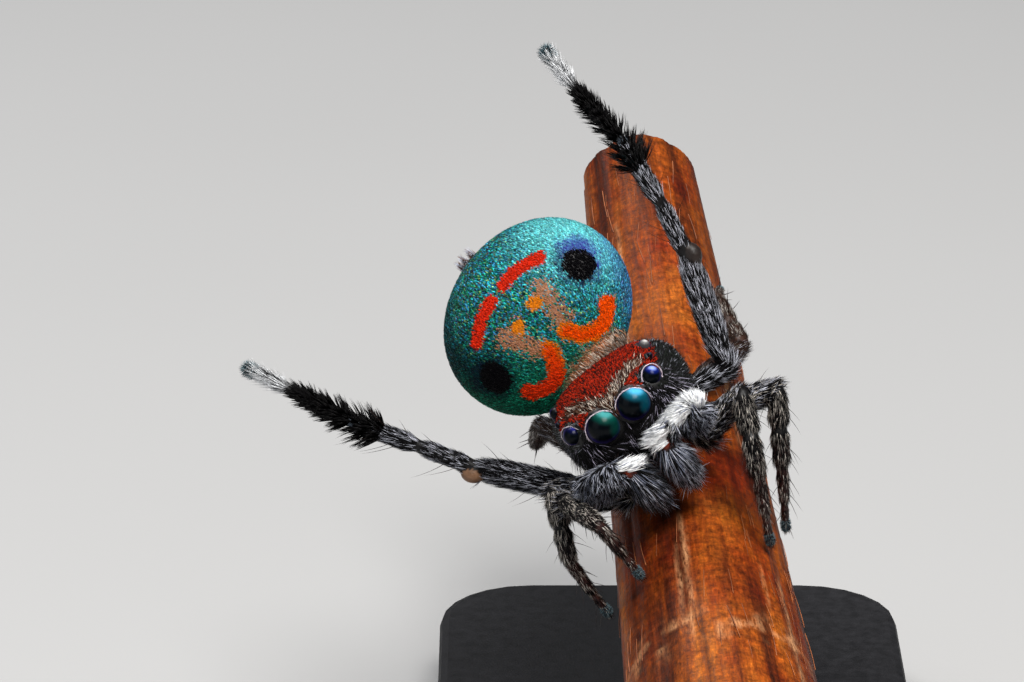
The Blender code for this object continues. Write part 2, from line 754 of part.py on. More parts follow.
head = combined(
    carapace(),
    [lens(kind, side, SOCKET_CLEAR) for kind in EYES for side in SIDES.values()],
    "DIFFERENCE",
)
node(head, "cephalothorax", "cuticle")
for kind in EYES:
    for side_name, side in SIDES.items():
        node(lens(kind, side), f"eye_{kind}_{side_name}", "eye_lens")

for side_name, side in SIDES.items():
    node(combined(jaw(side), [grown(carapace(), GAP)], "DIFFERENCE"), f"chelicera_{side_name}", "cuticle")
    arm = combined(palp_part(side, 0, PALP_JOINT, False), [grown(carapace(), GAP)], "DIFFERENCE")
    arm = combined(arm, palp_locks(side, *PALP_ARM_LOCKS), "UNION")
    node(arm, f"palp_{side_name}_arm", "white_hair")
    tip = palp_part(side, PALP_JOINT, len(PALP_ROWS) - 1, True)
    node(combined(tip, palp_locks(side, *PALP_TIP_LOCKS), "UNION"), f"palp_{side_name}_tip", "grey_hair")

node(abdomen(), "abdomen", "blue_scales")
node(combined(waist(), [grown(carapace(), GAP), grown(abdomen(), GAP)], "DIFFERENCE"), "pedicel", "cuticle")
node(combined(spinnerets(), [grown(abdomen(), GAP)], "DIFFERENCE"), "spinnerets", "grey_hair")

node(stem(), "perch_stem", "stem_bark")
seats = [rod(place, GAP) for place in ROD_PLACES.values()]
node(combined(base(), seats, "DIFFERENCE"), "stand_base", "stand_black", 30)
for name, place in ROD_PLACES.items():
    node(combined(rod(place), [stem(GAP)], "DIFFERENCE"), f"stand_rod_{name}", "stand_steel")
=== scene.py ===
"""Looks of a male peacock spider courting on a cut length of stem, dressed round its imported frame."""

import math

import bmesh
import bpy
import numpy as np
from mathutils import Matrix, Vector
from mathutils.bvhtree import BVHTree
from mathutils.kdtree import KDTree


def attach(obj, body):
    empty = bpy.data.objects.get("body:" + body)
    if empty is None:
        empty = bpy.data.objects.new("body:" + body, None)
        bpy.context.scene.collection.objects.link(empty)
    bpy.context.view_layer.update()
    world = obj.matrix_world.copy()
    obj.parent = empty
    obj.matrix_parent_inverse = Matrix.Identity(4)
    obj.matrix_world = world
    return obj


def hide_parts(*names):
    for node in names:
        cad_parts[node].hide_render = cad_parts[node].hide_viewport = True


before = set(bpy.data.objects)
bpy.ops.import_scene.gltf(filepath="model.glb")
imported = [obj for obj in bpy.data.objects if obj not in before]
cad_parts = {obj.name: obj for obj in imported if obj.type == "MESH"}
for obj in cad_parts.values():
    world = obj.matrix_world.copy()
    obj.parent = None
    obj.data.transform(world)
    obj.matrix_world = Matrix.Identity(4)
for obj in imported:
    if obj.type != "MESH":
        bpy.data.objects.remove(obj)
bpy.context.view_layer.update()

# The spider's head and thorax
# The real one is a single hard shell, flat on top, steep at the cheeks and cut off square at the face.
# Shapes are in millimetres in the spider's own frame: +X to its left, +Y to its rear, +Z up.

MM = 0.001
SIDES = {"left": 1, "right": -1}


def turn(axis, degrees):
    return Matrix.Rotation(math.radians(degrees), 4, axis)


BODY = Matrix.Translation((-0.80, -2.20, 6.00)) @ turn("Z", 8.6) @ turn("X", 2.8) @ turn("Y", -37.8)


def placed(matrix, points):
    m = np.array(matrix)
    return np.asarray(points, float) @ m[:3, :3].T + m[:3, 3]


def aimed(matrix, directions):
    return np.asarray(directions, float) @ np.array(matrix)[:3, :3].T


def unit(v):
    v = np.asarray(v, float)
    return v / np.maximum(np.linalg.norm(v, axis=-1, keepdims=True), 1e-9)


def mixed(a, b, share):
    return a + (b - a) * share


def smooth_step(low, high, value):
    t = np.clip((value - low) / (high - low), 0, 1)
    return t * t * (3 - 2 * t)


def eased(knots, places):
    """Values at many places between knots (place, value, value ...), eased through them."""
    knots = np.array(knots, float)
    last = len(knots) - 1
    slopes = np.gradient(knots, knots[:, 0], axis=0)
    i = np.clip(np.searchsorted(knots[:, 0], places, side="left") - 1, 0, last - 1)
    start, end = knots[i], knots[i + 1]
    span = (end[..., 0] - start[..., 0])[..., None]
    t = np.clip((places - start[..., 0])[..., None] / span, 0, 1)
    value = (2 * t**3 - 3 * t**2 + 1) * start + (3 * t**2 - 2 * t**3) * end
    value += span * ((t**3 - 2 * t**2 + t) * slopes[i] + (t**3 - t**2) * slopes[i + 1])
    return value[..., 1:]


CARAPACE_COAT = 0.03  # how far the skin lies inside the outline
# Place back, half width, top, bottom, and height of the widest line.
CARAPACE_ROWS = (
    (-0.04, 0.40, 0.08, -0.30, -0.12),
    (0.03, 0.62, 0.20, -0.42, -0.16),
    (0.18, 0.74, 0.27, -0.50, -0.24),
    (0.42, 0.81, 0.30, -0.86, -0.32),
    (0.70, 0.86, 0.31, -0.95, -0.38),
    (0.95, 0.90, 0.29, -0.96, -0.42),
    (1.25, 0.90, 0.16, -0.95, -0.45),
    (1.55, 0.80, -0.10, -0.92, -0.50),
    (1.82, 0.58, -0.38, -0.86, -0.58),
    (2.00, 0.26, -0.52, -0.76, -0.64),
)
CROWN_SQUARENESS, BELLY_SQUARENESS = 2.7, 2.3


def carapace(u, v):
    """Places on the shell at shares along it and round it: round share 0 is its left, 0.25 its crown."""
    u, v = np.broadcast_arrays(u, v)
    back = mixed(CARAPACE_ROWS[0][0], CARAPACE_ROWS[-1][0], u)
    half_width, top, bottom, widest = np.moveaxis(eased(CARAPACE_ROWS, back), -1, 0)
    c, s = np.cos(2 * np.pi * v), np.sin(2 * np.pi * v)
    power = np.where(s > 0, 2 / CROWN_SQUARENESS, 2 / BELLY_SQUARENESS)
    reach = np.where(s > 0, top - widest, widest - bottom) - CARAPACE_COAT
    across = (half_width - CARAPACE_COAT) * np.sign(c) * np.abs(c) ** power
    up = widest + reach * np.sign(s) * np.abs(s) ** power
    return placed(BODY, np.stack([across, back, up], -1))


# The eyes' sockets
# Each of the eight lenses sits in a low turret of the same shell, a little wider than the lens.
# Centre to the left, back and up; lens radius; aim outwards and upwards in degrees.

EYES = {
    "large": ((0.226, 0.05, 0.0), 0.212, 0, 0),
    "side": ((0.585, 0.15, 0.09), 0.118, 32, 6),
    "small": ((0.685, 0.50, 0.15), 0.038, 70, 15),
    "rear": ((0.665, 0.86, 0.13), 0.078, 80, 20),
}
# The turret's wall, how far its lip stands before the lens's widest ring, and its depth.
SOCKETS = {
    "large": (0.016, 0.055, 0.20),
    "side": (0.026, 0.012, 0.15),
    "small": (0.020, 0.0, 0.06),
    "rear": (0.024, -0.010, 0.10),
}


def mirrored(point, side):
    return Vector((point[0] * side, point[1], point[2]))


def eye_place(kind, side):
    centre, radius, outwards, upwards = EYES[kind]
    aim = turn("Z", outwards * side) @ turn("X", 90 - upwards)
    return BODY @ Matrix.Translation(mirrored(centre, side)) @ aim


def socket(kind, side):
    """A turret round a lens, whose rows are shares of its depth and of its width."""
    place, radius = eye_place(kind, side), EYES[kind][1]
    wall, lip, depth = SOCKETS[kind]
    rows = ((0, 0), (0, 0.8), (0.1, 0.97), (0.35, 1.0), (0.9, 1.02), (1, 0.9), (1.0, 0))
    wide = radius + wall

    def form(u, v):
        u, v = np.broadcast_arrays(u, v)
        t = u * (len(rows) - 1)
        index = np.arange(len(rows))
        back = np.interp(t, index, [r[0] for r in rows])
        size = np.interp(t, index, [r[1] for r in rows]) * wide
        ring = 2 * np.pi * v
        points = np.stack([size * np.cos(ring), size * np.sin(ring), lip - back * depth], -1)
        return placed(place, points)

    return form


# The abdomen
# It is a soft flattened bag, raised over the head and shown with its patterned back to the front.
# Its own frame has +Y from the waist to the spinnerets and +Z out of the patterned back.

ABDOMEN = BODY @ Matrix.Translation((-0.27, 2.37, 0.62)) @ turn("X", 63) @ turn("Z", 16)
ABDOMEN_COAT = 0.018
HALF_WIDTH, HALF_LENGTH, BACK_DEPTH, BELLY_DEPTH = (s - ABDOMEN_COAT for s in (1.27, 1.08, 0.76, 0.66))
ABDOMEN_SQUARENESS = 2.05


def abdomen(u, v):
    """Places on the abdomen at shares from its waist to its rear and round it, where 0.25 is its back."""
    u, v = np.broadcast_arrays(u, v)
    power = 2 / ABDOMEN_SQUARENESS
    c = np.cos(np.pi * u)
    size = np.sin(np.pi * np.clip(u, 0, 1)) ** power
    along = -HALF_LENGTH * np.sign(c) * np.abs(c) ** power
    ring = 2 * np.pi * v
    depth = np.where(np.sin(ring) > 0, BACK_DEPTH, BELLY_DEPTH)
    points = np.stack([HALF_WIDTH * size * np.cos(ring), along, depth * size * np.sin(ring)], -1)
    return placed(ABDOMEN, points)


# Waist, spinnerets, jaws and feelers
# They are short tubes of the same cuticle, grown from the shell and the abdomen with no seam.
# Rows give the place in the spider's frame and the radius.

WAIST_ROWS = (((0, 1.80, -0.62), 0.13), ((-0.02, 2.14, -0.56), 0.12), ((-0.10, 2.30, 0.00), 0.16))
JAW_ROWS = (
    ((0.215, 0.17, -0.36), 0.13),
    ((0.210, 0.16, -0.51), 0.165),
    ((0.200, 0.15, -0.77), 0.16),
    ((0.195, 0.14, -0.99), 0.13),
    ((0.190, 0.14, -1.10), 0.075),
)
PALP_ROWS = (
    ((0.45, 0.44, -0.74), 0.085),
    ((0.66, 0.02, -0.67), 0.075),
    ((0.80, -0.20, -0.46), 0.080),
    ((0.76, -0.30, -0.33), 0.085),
    ((0.60, -0.36, -0.29), 0.085),
    ((0.40, -0.41, -0.32), 0.085),
    ((0.28, -0.42, -0.42), 0.080),
    ((0.250, -0.40, -0.58), 0.130),
    ((0.243, -0.37, -0.75), 0.150),
    ((0.235, -0.33, -0.92), 0.120),
    ((0.225, -0.29, -1.02), 0.070),
)
# The three spinnerets are in the abdomen's frame: how far each reaches with its radius there, their
# shared root, and how far across and up each stands from it.
SPINNERET_ROWS = ((0.0, 0.065), (0.18, 0.060), (0.30, 0.036))
SPINNERET_ROOT = (0.0, 0.86, -0.16)
SPINNERET_OFFSETS = ((-0.075, -0.04), (0.075, -0.04), (0.0, 0.06))
TUBE_SAMPLES = 240


def tube(rows):
    """A round form through rows of (place, radius), closed by round ends, from shares along and round."""
    centres = np.array([tuple(place) for place, _ in rows], float)
    sizes = np.array([[radius] for _, radius in rows], float)
    lengths = np.concatenate([[0], np.linalg.norm(np.diff(centres, axis=0), axis=1).cumsum()])
    knots = np.concatenate([lengths[:, None], centres, sizes], axis=1)
    total = lengths[-1]
    places = np.linspace(0, total, TUBE_SAMPLES)
    values = eased(knots, places)
    path, radii = values[:, :3], values[:, 3]
    for end, radius in ((places, radii[0]), (total - places, radii[-1])):
        inside = np.clip(end / radius, 0, 1)
        radii = radii * np.sqrt(np.clip(1 - (1 - inside) ** 2, 0, 1))
    tangents = unit(np.gradient(path, axis=0))
    side = Vector(tangents[0]).orthogonal().normalized()
    sides = []
    for tangent in tangents:
        tangent = Vector(tangent)
        side = (side - tangent * side.dot(tangent)).normalized()
        sides.append(tuple(side))
    sides = np.array(sides)
    others = np.cross(tangents, sides)
    table = np.concatenate([path, radii[:, None], sides, others], axis=1)

    def form(u, v):
        u, v = np.broadcast_arrays(u, v)
        index = np.clip(u, 0, 1) * (TUBE_SAMPLES - 1)
        low = np.minimum(index.astype(int), TUBE_SAMPLES - 2)
        row = mixed(table[low], table[low + 1], (index - low)[..., None])
        ring = (2 * np.pi * v)[..., None]
        outwards = row[..., 4:7] * np.cos(ring) + row[..., 7:10] * np.sin(ring)
        return row[..., :3] + outwards * row[..., 3:4]

    form.rows = lengths / total
    return form


def body_tube(rows, side=1):
    return tube([(BODY @ mirrored(place, side), radius) for place, radius in rows])


def spinneret(across, up):
    start = Vector(SPINNERET_ROOT) + Vector((across, 0, up))
    rows = [
        (ABDOMEN @ (start + Vector((across * reach, reach, up * reach))), radius)
        for reach, radius in SPINNERET_ROWS
    ]
    return tube(rows)


# The legs
# Each is a chain of six stiff tubes with narrow soft joints. The third pair is long and held up.
# The first, second and fourth pairs stand on the stem.

STEM_POINT = Vector((0.09, -0.35, 4.34))


def polar(azimuth, elevation):
    """A unit vector from its heading in the floor plane and its height above it, in degrees."""
    a, e = math.radians(azimuth), math.radians(elevation)
    return Vector((math.cos(e) * math.cos(a), math.cos(e) * math.sin(a), math.sin(e)))


STEM_AXIS = polar(-85.2, -19.8)
STEM_UP = (Vector((0, 0, 1)) - STEM_AXIS * STEM_AXIS.z).normalized()
STEM_SIDE = STEM_UP.cross(STEM_AXIS)
STEM_THICK_ROWS = ((-6.2, 0.74), (-2.0, 0.90), (1.0, 1.01), (4.9, 1.19))


def stem_radius(place, angle):
    """The stem's radius at places along it and angles round it, a little lobed."""
    radius = eased(STEM_THICK_ROWS, np.asarray(place, float))[..., 0]
    return radius * (1 + 0.018 * np.cos(3 * angle + 0.6) + 0.010 * np.cos(5 * angle))


# Pair: root and trochanter in the spider's frame.
LEG_ROOTS = {
    1: ((0.42, 0.55, -0.78), (0.59, 0.43, -1.10)),
    2: ((0.46, 0.88, -0.80), (0.78, 0.78, -1.06)),
    3: ((0.50, 1.20, -0.80), (0.98, 1.12, -0.96)),
    4: ((0.40, 1.52, -0.78), (0.76, 1.62, -1.00)),
}
# How far some trochanters are swung from there.
LEG_SWINGS = {
    ("left", 3): (0.24, 0.02, 0.06),
    ("right", 3): (0.02, 0.05, -0.15),
    ("right", 2): (-0.08, 0.06, 0),
}
# Femur, patella, tibia, metatarsus and tarsus.
LEG_LENGTHS = {
    1: (0.93, 0.47, 0.54, 0.54, 0.38),
    2: (0.88, 0.45, 0.50, 0.50, 0.36),
    3: (1.46, 0.66, 0.90, 0.82, 0.66),
    4: (1.02, 0.42, 0.68, 0.62, 0.38),
}
# Outer radii at the coxa, trochanter, femur belly, knee, patella, tibia, metatarsus, tarsus and tip.
LEG_RADII = {
    1: (0.13, 0.13, 0.150, 0.125, 0.150, 0.130, 0.090, 0.062, 0.068),
    2: (0.13, 0.13, 0.155, 0.125, 0.145, 0.125, 0.088, 0.060, 0.066),
    3: (0.14, 0.14, 0.190, 0.130, 0.125, 0.125, 0.085, 0.065, 0.070),
    4: (0.13, 0.12, 0.150, 0.115, 0.130, 0.120, 0.085, 0.060, 0.062),
}
RAISED = {
    ("left", 3): ((143, 65), (160, 62), (161, 56), (168, 47), (163, 50)),
    ("right", 3): ((-178, 13), (-179, 23), (179, 21), (178, 28), (170, 25)),
}
# A standing leg's femur aim, its foot's place along the stem and angle round it, and the aim of its bend.
STANDING = {
    ("left", 1): ((-49, 50), 2.00, 41, (-90, 20)),
    ("left", 2): ((-16, 27), 1.30, 67, (-90, 20)),
    ("right", 1): ((-146, 8), 2.45, -46, (-75, 14)),
    ("right", 2): ((-145, 8), 2.15, -93, (-110, 0)),
    ("left", 4): ((52, 10), -3.10, 50, (-168, 52)),
    ("right", 4): ((130, 9), -1.80, -84, (149, -50)),
}
FOOT_GAP = 0.03
SKIN_SHARE = 0.80  # the skin's radius, as a share of the outline with the hair
JOINT_NECK = 0.80  # a joint's radius, as a share of its neighbours'


def bent_link(start, end, first, second, away):
    """The elbow of two links from start to end, on the side that away points to."""
    line = end - start
    reach = min(line.length, (first + second) * 0.995)
    heading = line.normalized()
    share = (first * first - second * second + reach * reach) / (2 * reach)
    height = math.sqrt(max(first * first - share * share, 0.0))
    side = (away - heading * away.dot(heading)).normalized()
    return start + heading * share + side * height


def leg_joints(side_name, pair):
    """Root, trochanter, knee, patella end, tibia end, metatarsus end and tip."""
    side = SIDES[side_name]
    root, trochanter = (Vector(p) for p in LEG_ROOTS[pair])
    trochanter = trochanter + Vector(LEG_SWINGS.get((side_name, pair), (0, 0, 0)))
    femur, patella, tibia, metatarsus, tarsus = LEG_LENGTHS[pair]
    joints = [BODY @ mirrored(root, side), BODY @ mirrored(trochanter, side)]
    if (side_name, pair) in RAISED:
        for length, angles in zip(LEG_LENGTHS[pair], RAISED[side_name, pair]):
            joints.append(joints[-1] + polar(*angles) * length)
        return joints
    femur_aim, place, degrees, bend_aim = STANDING[side_name, pair]
    knee = joints[1] + polar(*femur_aim) * femur
    angle = math.radians(degrees)
    stand_off = float(stem_radius(place, angle)) + LEG_RADII[pair][-1] + FOOT_GAP
    off_axis = STEM_UP * math.cos(angle) + STEM_SIDE * math.sin(angle)
    foot = STEM_POINT + STEM_AXIS * place + off_axis * stand_off
    bend = polar(*bend_aim)
    ankle = bent_link(knee, foot, patella + tibia, metatarsus + tarsus, bend)
    shin = mixed(knee, ankle, patella / (patella + tibia)) + bend * 0.03
    instep = mixed(ankle, foot, metatarsus / (metatarsus + tarsus)) + bend * 0.02
    return [*joints, knee, shin, ankle, instep, foot]


def leg_rows(joints, radii):
    """Rows of (place, radius) down a leg, with a narrow neck at each joint."""
    coxa, trochanter, belly, knee, patella, tibia, metatarsus, tarsus, tip = radii
    starts = (coxa, trochanter, knee, patella * 0.90, metatarsus * 1.20, tarsus * 1.15)
    bellies = (coxa, belly, patella, tibia, metatarsus, tarsus)
    ends = (trochanter, knee * 1.10, patella * 0.95, metatarsus * 1.25, tarsus * 1.15, tip)
    rows = [(joints[0], coxa)]
    for i, (a, b) in enumerate(zip(joints, joints[1:])):
        rows.append((mixed(a, b, 0.16), mixed(starts[i], bellies[i], 0.5)))
        rows.append((mixed(a, b, 0.48), bellies[i]))
        rows.append((mixed(a, b, 0.86), mixed(bellies[i], ends[i], 0.6)))
        neck = JOINT_NECK if 0 < i < 5 else 1.0
        rows.append((b, ends[i] * neck))
    return rows


LEGS = {}
for pair in LEG_ROOTS:
    for side_name in SIDES:
        joints = leg_joints(side_name, pair)
        rows = [(place, radius * SKIN_SHARE) for place, radius in leg_rows(joints, LEG_RADII[pair])]
        form = tube(rows)
        steps = [(b - a).length for a, b in zip(joints, joints[1:])]
        form.joints = np.concatenate([[0], np.cumsum(steps)]) / sum(steps)
        form.corners = joints
        LEGS[side_name, pair] = form

# The bare knob under each knee of the raised legs: its way out of the knee, and its radius.
KNOB_AIMS = {"left": (0.95, -0.25, 0.10), "right": (-0.15, -0.30, -0.95)}
KNOB_RADIUS, KNOB_OUT = 0.112, 0.085
KNOB_STRETCH = 0.35  # how much longer it is along the femur


def knob(side_name):
    knee = LEGS[side_name, 3].corners[2]
    centre = knee + Vector(KNOB_AIMS[side_name]) * KNOB_OUT
    heading = unit(knee - LEGS[side_name, 3].corners[1])

    def form(u, v):
        u, v = np.broadcast_arrays(u, v)
        height, ring = np.pi * u, 2 * np.pi * v
        ball = np.stack([np.sin(height) * np.cos(ring), np.sin(height) * np.sin(ring), -np.cos(height)], -1)
        ball = ball + heading * (KNOB_STRETCH * (ball @ heading))[..., None]
        return np.array(centre) + ball * KNOB_RADIUS

    return form


# Colours of the coat and the skin
# They are written as a painter reads them from 0 to 255, and shaded as light.


def shade(red, green, blue):
    value = np.array((red, green, blue)) / 255
    return np.where(value > 0.04045, ((value + 0.055) / 1.055) ** 2.4, value / 12.92)


BLACK_SHELL = shade(13, 12, 13)
BROWN_SHELL = shade(74, 44, 30)
RED_SHELL = shade(54, 28, 24)
JOINT_RED = shade(140, 46, 20)
KNOB_BROWN = {"left": shade(38, 30, 27), "right": shade(112, 82, 60)}
# A pale blue grey for the bare joint of the raised legs, partly its own colour and partly a painted
# highlight.
JOINT_BLUE = shade(112, 124, 138)

TURQUOISE = shade(40, 168, 188)
SEA_GREEN = shade(30, 150, 112)
SKY_BLUE = shade(66, 150, 210)
YELLOW_GREEN = shade(128, 168, 96)
# Deep teal is a painted shade; below, bright cyan is a painted highlight and edge blue a painted sheen.
SHADE_TEAL = shade(8, 68, 70)
DULL_BROWN = shade(84, 76, 72)
HIGHLIGHT_CYAN = shade(128, 240, 244)
SHEEN_BLUE = shade(84, 112, 214)
HALO_VIOLET = shade(64, 40, 172)
HALO_NAVY = shade(10, 16, 38)
SPOT_BLACK = shade(6, 5, 8)
BAR_RED = shade(224, 44, 16)
HOOK_ORANGE = shade(255, 88, 4)
FRINGE_ORANGE = shade(240, 140, 24)
PATCH_BROWN = shade(206, 140, 102)
BELLY_BROWN = shade(120, 100, 84)
BELLY_PALE = shade(190, 184, 178)

# Half of the pattern. Each mark is a stroke over the back, with a half width, through points given as
# the place across and the place along.
EYESPOT = ((0.855, -0.110),)
EYESPOT_RADIUS = 0.212
HALO, HALO_REACH = ((0.87, -0.10), (0.93, -0.03)), 0.13
BAR, BAR_WIDTH = ((0.13, 0.465), (0.24, 0.470), (0.38, 0.435), (0.52, 0.385), (0.65, 0.315)), 0.082
HOOK = (
    (0.695, -0.600),
    (0.645, -0.650),
    (0.57, -0.695),
    (0.46, -0.735),
    (0.34, -0.72),
    (0.22, -0.62),
    (0.15, -0.47),
)
HOOK_WIDTH = 0.114
# The hooks lie a little turned from the rest of the pattern.
HOOK_TURN = turn("Z", 5.2) @ Matrix.Translation((-0.024, -0.014, 0))
DOT, DOT_WIDTH = ((0.155, 0.05), (0.20, 0.0)), 0.075
PATCH, PATCH_WIDTH = ((0.37, 0.07), (0.33, -0.05), (0.27, -0.19), (0.23, -0.33)), 0.115
APRON_FRONT = -0.80  # the brown apron lies before this line, over the waist
APRON_HALF_WIDTH = 0.52


def line_distance(points, line):
    """How far points lie from a line of straight stretches, or from a single place."""
    line = np.array(line, float)
    best = np.linalg.norm(points - line[0], axis=1)
    for a, b in zip(line, line[1:]):
        share = np.clip((points - a) @ (b - a) / ((b - a) @ (b - a)), 0, 1)
        best = np.minimum(best, np.linalg.norm(points - (a + share[:, None] * (b - a)), axis=1))
    return best


def stroke_distance(local, stroke):
    """How far places on the back lie from a stroke and from its mirror image."""
    across, along = np.array(stroke).T
    rest = 1 - (across / HALF_WIDTH) ** 2 - (along / HALF_LENGTH) ** 2
    stroke = np.column_stack([across, along, BACK_DEPTH * np.sqrt(np.maximum(rest, 0))])
    return line_distance(np.column_stack([np.abs(local[:, 0]), local[:, 1:]]), stroke)


def hook_distance(local):
    return stroke_distance(placed(HOOK_TURN, local), HOOK)


def blend(base, over, share):
    """One colour laid over another by a share, or by yes and no, at each place."""
    return base + (over - base) * np.asarray(share, float)[:, None]


def inside(distance, edge, blur):
    """1 within an edge and 0 beyond it, with a blur either way."""
    return smooth_step(edge + blur, edge - blur, distance)


def ripple(points, size, seed):
    """A smooth value from -1 to 1 that wanders over places with waves of about that size."""
    chance = np.random.default_rng(seed)
    value = np.zeros(len(points))
    for _ in range(5):
        heading = unit(chance.normal(size=3)) * (2 * np.pi / size) * chance.uniform(0.6, 1.5)
        value += np.sin(points @ heading + chance.uniform(0, 6.28))
    return np.clip(value / 2.6, -1, 1)


# Which way a place faces sets its colour, as the light falls on it in the photograph.
LIT_FROM = unit((0.30, -0.30, 0.95))
UNDERSIDE = unit((0.15, -0.65, -0.75))
LEFT_EDGE = unit((0.90, -0.10, 0.42))


def ground_colours(local, outwards, ragged, chance):
    """The abdomen without its marks: blue green scales over the back and brown ones under it, with painted
    light and shade.
    """
    count, lit = len(local), outwards @ LIT_FROM
    hue = chance.uniform(size=count)
    # Painted shade: away from the light the scales turn greener, with brown and yellow green ones among
    # them.
    colour = blend(TURQUOISE, SEA_GREEN, hue < mixed(0.52, 0.22, smooth_step(0.35, 0.95, lit)))
    colour = blend(colour, SKY_BLUE, hue > 0.80)
    colour = blend(colour, DULL_BROWN, hue < 0.11 * smooth_step(0.97, 0.6, lit))
    colour = blend(colour, YELLOW_GREEN, chance.uniform(size=count) < 0.11 * smooth_step(0.95, 0.55, lit))
    # A deep teal painted shade away from the light, a green painted reflection on the underside, and darker
    # scales away from the light.
    colour = blend(colour, SHADE_TEAL, 0.9 * smooth_step(0.55, -0.15, lit))
    colour = blend(colour, SEA_GREEN, 0.75 * smooth_step(0.35, 0.85, outwards @ UNDERSIDE))
    colour = colour * mixed(0.62, 1.0, smooth_step(0.0, 0.85, lit))[:, None]
    # A painted highlight of pale cyan on top, and a blue painted sheen towards the left edge.
    colour = blend(colour, HIGHLIGHT_CYAN, 0.75 * smooth_step(0.60, 0.97, lit))
    colour = blend(colour, SHEEN_BLUE, 0.42 * smooth_step(0.72, 0.95, outwards @ LEFT_EDGE))
    # The glints are painted highlights that vary more, and are darker, away from the light.
    even = smooth_step(0.70, 0.97, lit)
    glint = chance.lognormal(size=count) ** mixed(0.80, 0.42, even) * mixed(0.66, 0.98, even)
    colour = np.minimum(colour * np.clip(glint, 0.12, 2.6)[:, None], 0.95)
    belly = blend(BELLY_BROWN, BELLY_PALE, hue < 0.22) * (0.7 + 0.4 * ripple(local, 0.30, 6))[:, None]
    return blend(colour, belly, smooth_step(-0.05, -0.30, local[:, 2] + 4 * ragged))


def abdomen_colours(places, chance):
    """The pattern at places on the abdomen, with the ragged edges that whole scales give it."""
    local = placed(ABDOMEN.inverted(), places)
    outwards = aimed(ABDOMEN, unit(local / (HALF_WIDTH**2, HALF_LENGTH**2, BACK_DEPTH**2)))
    count, lit, from_middle = len(local), outwards @ LIT_FROM, np.abs(local[:, 0])
    ragged = chance.normal(scale=0.010, size=count) + 0.012 * ripple(local, 0.12, 5)
    colour = ground_colours(local, outwards, ragged, chance)
    spot = stroke_distance(local, EYESPOT) + ragged
    halo = stroke_distance(local, HALO) + 3 * ragged
    # The halo is violet where the light falls and navy in painted shade; it is also navy towards the middle.
    halo_colour = blend(HALO_NAVY, HALO_VIOLET, smooth_step(0.15, 0.6, lit))
    halo_colour = blend(halo_colour, HALO_NAVY, 0.85 * smooth_step(0.96, 0.74, local[:, 0]))
    near = smooth_step(EYESPOT_RADIUS + HALO_REACH, EYESPOT_RADIUS - 0.02, halo)
    colour = blend(colour, halo_colour, 0.95 * near * chance.uniform(0.7, 1.0, size=count))
    patch = stroke_distance(local, PATCH) + 2.5 * ragged
    bare = inside(patch, PATCH_WIDTH, 0.06) > chance.uniform(0, 1.15, size=count)
    colour = blend(colour, PATCH_BROWN * 0.9, 0.9 * bare)
    dot = stroke_distance(local, DOT) + 1.5 * ragged
    colour = blend(colour, FRINGE_ORANGE, inside(dot, DOT_WIDTH, 0.02))
    hook = hook_distance(local) + ragged
    warm = smooth_step(0.60, 0.10, from_middle) * smooth_step(0.3, 1.0, hook / HOOK_WIDTH)
    # The hooks turn redder away from the light, a painted shade.
    hook_colour = blend(blend(HOOK_ORANGE, FRINGE_ORANGE, warm), BAR_RED, 0.8 * smooth_step(0.55, 0.1, lit))
    colour = blend(colour, hook_colour, inside(hook, HOOK_WIDTH, 0.008))
    bar = stroke_distance(local, BAR) + ragged
    colour = blend(colour, BAR_RED, inside(bar, BAR_WIDTH, 0.006))
    colour = blend(colour, SPOT_BLACK, inside(spot, EYESPOT_RADIUS, 0.006))
    tone = chance.uniform(0.78, 1.08, size=count)
    tone *= np.where(chance.uniform(size=count) < 0.035, 0.3, 1)  # a dark scale here and there
    marked = (bar < BAR_WIDTH) | (hook < HOOK_WIDTH)
    colour = np.minimum(colour * np.where(marked, tone, 1)[:, None], 0.98)
    apron = smooth_step(APRON_FRONT + 0.08, APRON_FRONT - 0.04, local[:, 1] + 3 * ragged)
    apron *= smooth_step(APRON_HALF_WIDTH, APRON_HALF_WIDTH - 0.25, from_middle)
    apron *= smooth_step(-0.1, 0.05, local[:, 2]) * smooth_step(HOOK_WIDTH, HOOK_WIDTH + 0.03, hook)
    return blend(colour, PATCH_BROWN * 0.75, apron)


CROWN_RED = shade(170, 36, 8)
CROWN_SPECK = shade(34, 10, 8)
CROWN_BEIGE = shade(230, 216, 200)
CROWN_BROWN = shade(96, 62, 44)
CROWN_REAR, CROWN_HALF_WIDTH = 1.10, 0.77
STRIPE = ((0.05, 0.02), (0.22, 0.18), (0.34, 0.32), (0.48, 0.45))
STRIPE_WIDTH = 0.106


def crown_part(local, chance):
    """How far each place on the head belongs to the crown, and to its beige stripes."""
    ragged = chance.normal(scale=0.014, size=len(local))
    across, back, up = np.abs(local[:, 0]), local[:, 1], local[:, 2]
    crown = smooth_step(0.02, 0.10, up + ragged) * smooth_step(CROWN_REAR, CROWN_REAR - 0.06, back + ragged)
    crown *= inside(across + ragged, CROWN_HALF_WIDTH, 0.03)
    crown *= (across < 0.42) | (back > 0.16)  # not on the corners, where the side eyes stand
    off_stripe = line_distance(np.stack([across, back], -1), STRIPE) + ragged
    stripe = inside(off_stripe, STRIPE_WIDTH, 0.03)
    return crown, stripe * crown


def shell_colours(places, u, chance):
    """The shell's own colour, which carries the crown's markings under its scales."""
    crown, stripe = crown_part(placed(BODY.inverted(), places), chance)
    return blend(blend(BLACK_SHELL, CROWN_RED * 0.32, crown), CROWN_BROWN * 0.7, stripe)


PALP_RING = 6.05  # the row of the feeler that its red ring lies on


def bell(value, middle, width):
    return np.exp(-(((value - middle) / width) ** 2))


